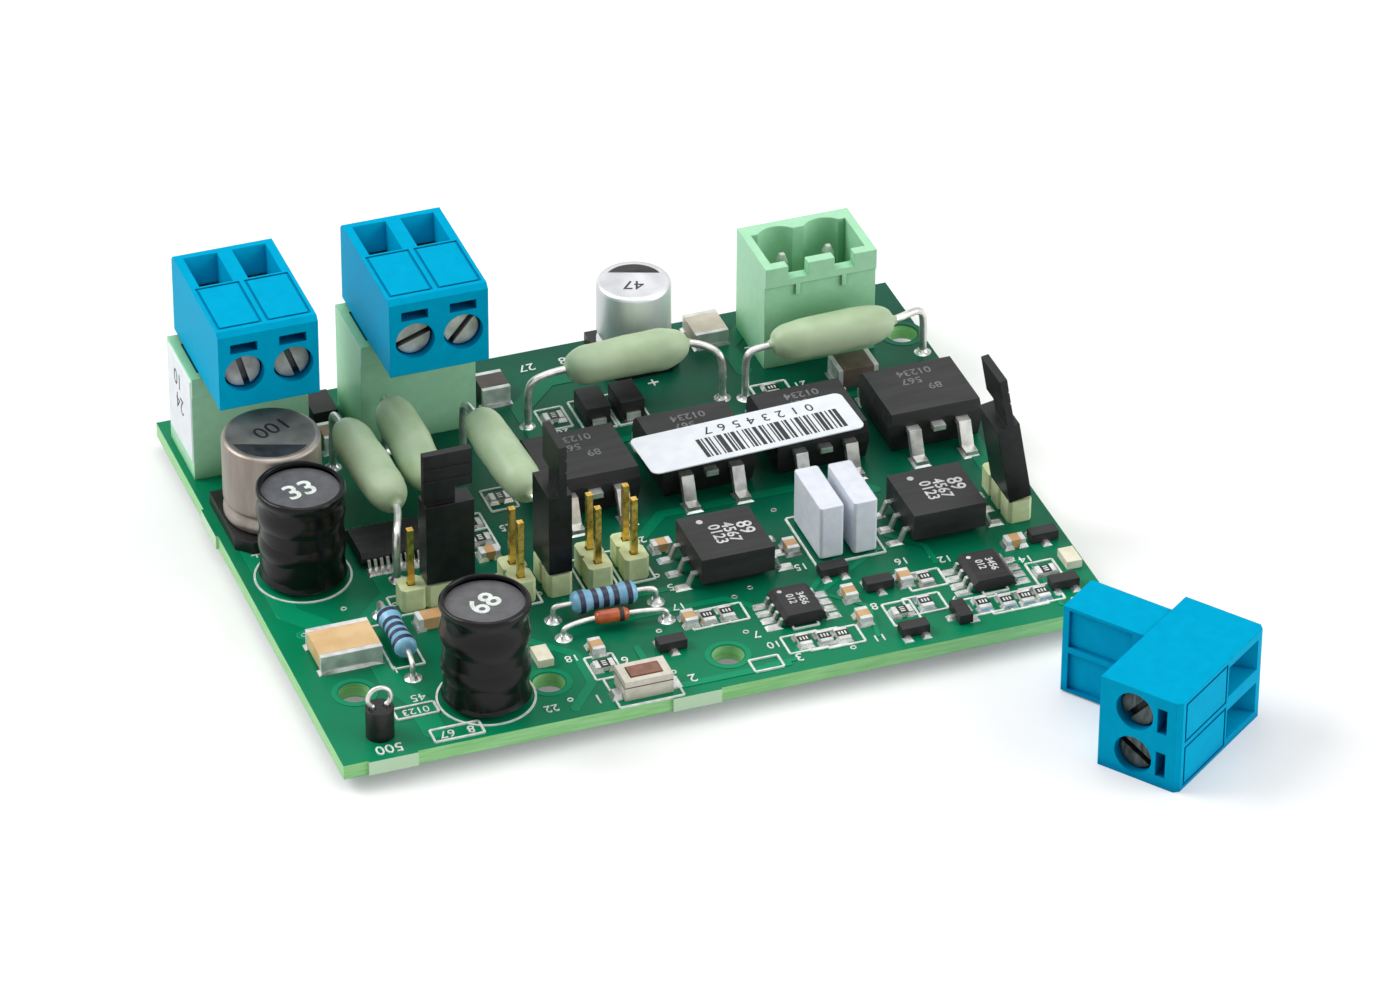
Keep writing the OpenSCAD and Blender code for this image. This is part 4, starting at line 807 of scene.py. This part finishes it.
film_blue = plain_finish("film_lacquer", tone(112, 172, 208), tone(138, 194, 222), 0.3, 600, 0.02)
band_paint = plain_finish("band_paint", tone(24, 32, 60), tone(52, 58, 84), 0.35)
film_master = turned("film_body", capped_profile(film_d, film_l), 36)
keep(stamp("film_resistor_bodies", film_master, [lying(seat) for seat in film_seats]), film_blue,
     stands_for=["film_resistors"])
waist = film_d / 2 * waist_share + 0.02
waist_in = waist - 0.1
band = turned("band", [
    (waist_in, -band_half), (waist, -band_half), (waist, band_half), (waist_in, band_half),
    (waist_in, -band_half),
], 36, True)
end_ring = film_d / 2 + 0.015
end_in = end_ring - 0.2
end_band = turned("end_band", [
    (end_in, -band_half), (end_ring, -0.26), (end_ring, 0.26), (end_in, band_half), (end_in, -band_half),
], 36, True)
band_places = [lying(seat) @ Matrix.Translation((0, 0, z)) for seat in film_seats for z in (-1.1, 0, 1.1)]
end_places = [lying(seat) @ Matrix.Translation((0, 0, z)) for seat in film_seats for z in (-2.45, 2.45)]
all_bands = [stamp("waists", band, band_places), stamp("ends", end_band, end_places)]
keep(joined("film_resistor_bands", all_bands), band_paint)

# Glass diode. A small orange glass bead melted around the wires' ends, with a black ring painted
# at one end.
bead_r = diode_d / 2
half_bead = [
    (0.3 * bead_r, -diode_l / 2), (0.62 * bead_r, -diode_l / 2 + 0.08),
    (0.88 * bead_r, -diode_l / 2 + 0.28), (bead_r, -diode_l / 2 + 0.6), (bead_r, -0.2),
]
bead = turned("glass_diode_bead", half_bead + [(radius, -z) for radius, z in reversed(half_bead)], 32)
bead.data.transform(lying(diode_seat))
orange_glass = plain_finish("orange_glass", tone(176, 72, 34), tone(216, 112, 60), 0.12, 500, 0.01)
keep(bead, orange_glass, stands_for=["glass_diode"])
ring_in, ring_out, ring_low, ring_high = bead_r - 0.1, bead_r + 0.015, 0.7, 1.15
mark_ring = turned("diode_ring", [
    (ring_in, ring_low), (ring_out, ring_low), (ring_out, ring_high), (ring_in, ring_high),
    (ring_in, ring_low),
], 32, True)
mark_ring.data.transform(lying(diode_seat))
keep(mark_ring, sticker_ink)

# Film capacitors. Wound plastic film, potted in moulded pale grey boxes with broken edges, which
# stand on two wires each.
film_grey = plain_finish("film_box_grey", tone(222, 226, 237), tone(231, 235, 244), 0.42, 900, 0.02, 0.25)
dress(film_grey, "film_capacitors")

# Inductors. Wire wound on a ferrite drum and held in black heat-shrink sleeve, which follows the
# turns in soft waves and grips over the drum's rim. A plain number is printed on each drum.
sleeve_r, sleeve_wall, sleeve_low, foot_rim = 4.55, 0.35, 0.6, 0.2
wave_h, wave_count, wave_steps, drum_sink = 0.16, 2.6, 22, 0.7
fold_size, fold_h, fold_level = 4.5, 0.3, 0.65
sleeve_black = plain_finish("shrink_sleeve", tone(5, 5, 6), tone(11, 11, 12), 0.24, 160, 0.08, gloss=0.25)
sleeves = []
for i, (x, y, h) in enumerate(inductors):
    inner = sleeve_r - sleeve_wall
    wall = [(inner, sleeve_low), (sleeve_r - 0.25, sleeve_low), (sleeve_r - 0.08, sleeve_low + foot_rim)]
    for step in range(1, wave_steps):
        share = step / wave_steps
        fade = 0.3 + 0.7 * math.sin(share * math.pi)
        swell = wave_h * math.cos(share * math.tau * wave_count + i) * fade
        wall.append((sleeve_r - 0.24 + swell, sleeve_low + foot_rim + (h - sleeve_low - 0.9) * share))
    wall += [
        (sleeve_r - 0.06, h - 0.6), (sleeve_r - 0.07, h - 0.3), (sleeve_r - 0.18, h - 0.1),
        (inner + 0.02, h - 0.02), (inner - 0.16, h - 0.04), (inner - 0.24, h - 0.16),
        (inner - 0.26, h - 0.34), (inner - 0.24, h - 0.5), (inner, h - 0.5), (inner, sleeve_low),
    ]
    tube = turned(f"sleeve_{i}", wall, 64, True)
    folds = bpy.data.textures.new(f"sleeve_folds_{i}", "CLOUDS")
    folds.noise_scale = fold_size
    shrink = tube.modifiers.new("shrink", "DISPLACE")
    shrink.texture = folds
    shrink.texture_coords = "LOCAL"
    shrink.strength = fold_h
    shrink.mid_level = fold_level
    bpy.ops.object.modifier_apply(modifier="shrink")
    tube.data.transform(at(x, y))
    sleeves.append(tube)
keep(joined("shrink_sleeves", sleeves), sleeve_black, stands_for=["inductor_sleeves"])
ferrite = plain_finish("ferrite_grey", tone(84, 84, 87), tone(98, 98, 102), 0.36, 900, 0.03, 0.1, 0.5)
dress(ferrite, "inductor_cores")
dress(metal_finish("enamelled_copper", tone(140, 70, 36), tone(186, 104, 58), 0.3), "inductor_windings")
drum_marks = [
    figures(text, 3.4, at(x, y, h - drum_sink + ink_h / 2, heading), 0.06)
    for (x, y, h), text, heading in zip(inductors, ("33", "68"), (12, 32))
]
keep(joined("drum_numbers", drum_marks), ink)

# Capacitor cans. Drawn aluminium, crimped into a black base, with a dark printed segment and a
# plain number on the flat top.
base_h, top_dip, segment_in, segment_from = 1.4, 0.04, 0.85, 0.38
number_size, number_away = 0.56, 0.22


def can_profile(r, h):
    """Outline of a can: rolled foot, crimped groove, straight wall and rounded rim."""
    return [
        (r - 0.45, 0), (r - 0.14, 0.1), (r, 0.4), (r, 0.95), (r - 0.08, 1.15), (r - 0.28, 1.35),
        (r - 0.35, 1.6), (r - 0.28, 1.85), (r - 0.08, 2.05), (r, 2.25), (r, 3), (r, h - 0.5),
        (r - 0.06, h - 0.24), (r - 0.2, h - 0.07), (r - 0.45, h), (r - 0.6, h), (r - 0.75, h - top_dip),
    ]


cans = [
    ("large", 6.05, 42, 5.0, 10.5, "100", 200, -110, tone(140, 131, 122), tone(176, 167, 158)),
    ("small", 50.2, 58.4, 3.9, 9.4, "47", 160, 70, tone(206, 207, 210), tone(230, 231, 234)),
]
segment_ink = plain_finish("segment_ink", tone(26, 26, 28), tone(44, 44, 46), 0.4)
for name, x, y, r, top, text, heading, segment_at, dark, light in cans:
    can = turned(f"{name}_can", can_profile(r, top - base_h), 96)
    can.data.transform(at(x, y, base_h))
    can_metal = metal_finish(f"{name}_can_metal", dark, light, 0.4, 300, (1, 1, 0.15), 0.01, 0.0, 0.7)
    keep(can, can_metal, stands_for=[f"{name}_capacitor_can"])
    segment = turned(f"{name}_segment", [(r - segment_in, 0), (r - segment_in, ink_h)], 64)
    bpy.ops.object.mode_set(mode="EDIT")
    bpy.ops.mesh.select_all(action="SELECT")
    cut = (segment_from * r, 0, 0)
    bpy.ops.mesh.bisect(plane_co=cut, plane_no=(1, 0, 0), use_fill=True, clear_inner=True)
    bpy.ops.object.mode_set(mode="OBJECT")
    segment.data.transform(at(x, y, top - top_dip, segment_at))
    keep(segment, segment_ink)
    away = [-number_away * r * turn(math.radians(segment_at)) for turn in (math.cos, math.sin)]
    number_spot = at(x + away[0], y + away[1], top - top_dip + ink_h / 2, heading)
    number = figures(text, r * number_size, number_spot)
    keep(joined(f"{name}_can_number", [number]), segment_ink)
base_black = plain_finish("base_black", tone(16, 16, 17), tone(28, 28, 29), 0.4, 900, 0.02, 0.12, 0.4)
dress(base_black, "capacitor_bases")

# Flat packages. Transistors, isolators and chips moulded in charcoal epoxy, with matt, finely lined
# tops, a dot at the first lead and rows of plain numbers. Their leads are tinned.
isolator_top, transistor_top, chip_top = 3.74, 4.49, 1.49
lined = (0.25, 2, 1)
epoxy = plain_finish(
    "charcoal_epoxy", tone(28, 28, 29), tone(44, 44, 46), 0.5, 700, 0.03, 0.08, 0.35, lined,
)
dress(epoxy, "power_transistors", "isolators", "control_chips", "small_semiconductors")
dress(tinned, "package_leads")
faint_ink = plain_finish("faint_mark", tone(184, 184, 183), tone(220, 220, 219), 0.6)
isolators = [(46.1, 19.7), (68.7, 19.9)]
chips = [(49.9, 9.6), (69.7, 8.9)]
first_transistor_x, transistor_step = 36.8, 12.3
transistor_tops = [(first_transistor_x + transistor_step * i, 38) for i in range(4)]
dim_ink = plain_finish("dim_mark", tone(92, 92, 93), tone(122, 122, 123), 0.6)
package_rows = (
    ("isolator_marks", faint_ink, isolators, isolator_top, -90, 0.03,
     (("0123", 1.7, -0.8, 0), ("4567", 1.7, 0.6, 0), ("89", 2.2, 2.2, 0.3))),
    ("transistor_marks", dim_ink, transistor_tops, transistor_top, 180, 0.02,
     (("01234", 1.5, 0.2, 1.6), ("567", 1.5, -0.6, 0.1), ("89", 1.5, 1.4, -1.4))),
    ("control_chip_marks", faint_ink, chips, chip_top, -90, 0.02,
     (("012", 1.1, -0.5, 0.2), ("3456", 1.1, 0.6, 0))),
)
for name, finish, places, top, heading, bold, rows in package_rows:
    marks = [
        figures(text, size, at(x + along, y + back, top + ink_h / 2, heading), bold)
        for x, y in places for text, size, along, back in rows
    ]
    keep(joined(name, marks), finish)
dot_places = [at(x - 1.8, y + 2.6, isolator_top, 0, (0.7, 0.7, ink_h)) for x, y in isolators]
dot_places += [at(x - 1.2, y + 1.7, chip_top, 0, (0.5, 0.5, ink_h)) for x, y in chips]
keep(stamp("first_lead_dots", dot, dot_places), faint_ink)

# Chips. Thick-film resistors are white ceramic with a black glaze on top; the capacitors are tan
# ceramic blocks; both have tinned ends that are soldered to their pads.
glaze_from, glaze_top, corner_x, back_y = 0.5, 0.54, 10, 44
stroke_w, stroke_l, stroke_gap = 0.16, 0.5, 0.32


def glazed_chip():
    """White ceramic sides under a black glaze."""
    material, tree, shader, place = blank("glazed_chip", 0.35, 0.0, 0.4)
    top = sums(tree, "GREATER_THAN", axes(tree, place)[2], (board_t + glaze_from) * mm)
    cloud = noise(tree, place, 1500, 3)
    glaze = shades(tree, cloud, tone(20, 20, 22), tone(38, 38, 40))
    tree.links.new(either(tree, top, tone(216, 214, 206), glaze), shader.inputs["Base Color"])
    tree.links.new(ranged(tree, cloud, 0.25, 0.45), shader.inputs["Roughness"])
    relief(tree, shader, cloud, 0.02, 0.5, 0.05)
    return material


dress(glazed_chip(), "chip_resistors")
chip_tin = metal_finish(
    "chip_tin", tone(206, 208, 206), tone(240, 241, 240), 0.34, 800, rounding=0.1, metal=0.2,
)
dress(chip_tin, "chip_ends")


def fired_ceramic():
    """Tan ceramic; the blocks along the back are of other mixes, brown to beige."""
    material, tree, shader, place = blank("fired_ceramic", 0.36, 0.0, 0.4)
    x, y, z = axes(tree, place)
    cloud = noise(tree, place, 500, 3)
    front_row = shades(tree, cloud, tone(196, 152, 106), tone(212, 172, 124))
    at_corner = sums(tree, "LESS_THAN", x, (corner_x - board_w / 2) * mm)
    corner_mix = shades(tree, cloud, tone(222, 184, 132), tone(234, 200, 150))
    front_row = either(tree, at_corner, front_row, corner_mix)
    back_row = shades(tree, cloud, tone(140, 106, 80), tone(160, 126, 98))
    for from_x, dark, light in (
        (25, tone(70, 60, 56), tone(88, 78, 73)),
        (46, tone(200, 188, 170), tone(218, 208, 192)),
        (65, tone(98, 84, 75), tone(118, 103, 93)),
    ):
        past = sums(tree, "GREATER_THAN", x, (from_x - board_w / 2) * mm)
        back_row = either(tree, past, back_row, shades(tree, cloud, dark, light))
    at_back = sums(tree, "GREATER_THAN", y, (back_y - board_d / 2) * mm)
    tree.links.new(either(tree, at_back, front_row, back_row), shader.inputs["Base Color"])
    tree.links.new(ranged(tree, cloud, 0.28, 0.44), shader.inputs["Roughness"])
    relief(tree, shader, cloud, 0.01, 0.5, 0.1)
    return material


dress(fired_ceramic(), "ceramic_capacitors")
chip_marks = []
for points in loose_parts("chip_resistors"):
    x, y, w, d = footprint(points, chip_h)
    for shift in (-stroke_gap, 0, stroke_gap):
        dx, dy = (0, shift) if w < d else (shift, 0)
        size = (stroke_l, stroke_w) if w < d else (stroke_w, stroke_l)
        chip_marks.append(at(x + dx, y + dy, glaze_top, 0, (*size, ink_h)))
keep(stamp("chip_marks", strip, chip_marks), ink)

# Indicator lamps, test button and test post. Cream moulded lamp chips; a brown button in a cream
# frame, clipped together along a seam and soldered by two feet; and a bent wire loop in a black
# moulded bead for a test clip.
lamp_cream = plain_finish("lamp_cream", tone(222, 216, 190), tone(240, 236, 214), 0.3, 900, 0.02, 0.1)
dress(lamp_cream, "indicator_lamps")
frame_cream = plain_finish("frame_cream", tone(206, 200, 184), tone(224, 218, 204), 0.4, 900, 0.02, 0.12)
dress(frame_cream, "button_frame")
switch_x, switch_y, switch_w, switch_d = 31.4, 2.5, 5, 3.2
seam_z, seam_h, seam_t = 1.45, 0.1, 0.03
foot_size, foot_out, foot_back = (1.5, 1.5, 0.6), 0.4, 0.5
seams = [
    at(switch_x, switch_y + side * switch_d / 2, seam_z, 0, (switch_w, seam_t, seam_h)) for side in (-1, 1)
]
seams += [
    at(switch_x + side * switch_w / 2, switch_y, seam_z, 0, (seam_t, switch_d, seam_h)) for side in (-1, 1)
]
keep(stamp("button_frame_seam", strip, seams), sticker_ink)
button_feet = [
    at(switch_x + side * (switch_w / 2 + foot_out), switch_y - foot_back, 0, 0, foot_size)
    for side in (-1, 1)
]
keep(stamp("button_feet", bank, button_feet), solder)
button_brown = plain_finish("button_brown", tone(118, 78, 60), tone(146, 100, 80), 0.4, 900, 0.02, 0.15)
dress(button_brown, "test_button")
bead_black = plain_finish("bead_black", tone(14, 14, 15), tone(26, 26, 27), 0.35, 900, 0.02, 0.2, 0.4)
dress(bead_black, "test_post_bead")
dress(tinned, "test_post_loop")

# Bar label. White paper with a gummed back, stuck across two transistors and printed with bars and
# plain figures in black.
label_x, label_y, label_z, label_turn, ink_sink = 53.9, 34.5, 4.62, 2.5, 0.01
bar_unit, bar_l, bar_from, bar_row, figure_row = 0.14, 3.4, -5.4, -0.9, 2.0
figure_size, figure_from, figure_step = 1.8, -3.6, 1.6
bar_widths = (
    3, 1, 2, 1, 1, 4, 2, 1, 3, 1, 1, 2, 1, 3, 2, 1,
    1, 2, 4, 1, 2, 1, 3, 1, 2, 1, 1, 3, 2, 1, 2, 3,
)
bar_gaps = (
    1, 2, 1, 3, 1, 2, 1, 1, 2, 3, 1, 1, 2, 2, 1, 3,
    1, 1, 2, 1, 3, 2, 1, 2, 1, 3, 1, 1, 2, 2, 1, 1,
)
dress(paper, "bar_label")
bars, reach = [], bar_from
label_spot = at(label_x, label_y, label_z - ink_sink, label_turn)
for width, gap in zip(bar_widths, bar_gaps):
    w = width * bar_unit
    bar_spot = Matrix.Translation((reach + w / 2, bar_row, 0)) @ Matrix.Diagonal((w, bar_l, ink_h, 1))
    bars.append(label_spot @ bar_spot)
    reach += w + gap * bar_unit
label_figures = []
for i, digit in enumerate("76543210"):
    spot = Matrix.Translation((figure_from + figure_step * i, figure_row, ink_h / 2))
    label_figures.append(figures(digit, figure_size, label_spot @ spot @ Matrix.Rotation(math.pi, 4, "Z")))
keep(joined("label_bars", [stamp("bars", strip, bars)] + label_figures), sticker_ink)

# The masters were only there to be copied.
for master in (strip, dot, land, via, cone, collar, bank, circle, film_master, band, end_band):
    bpy.data.objects.remove(master)
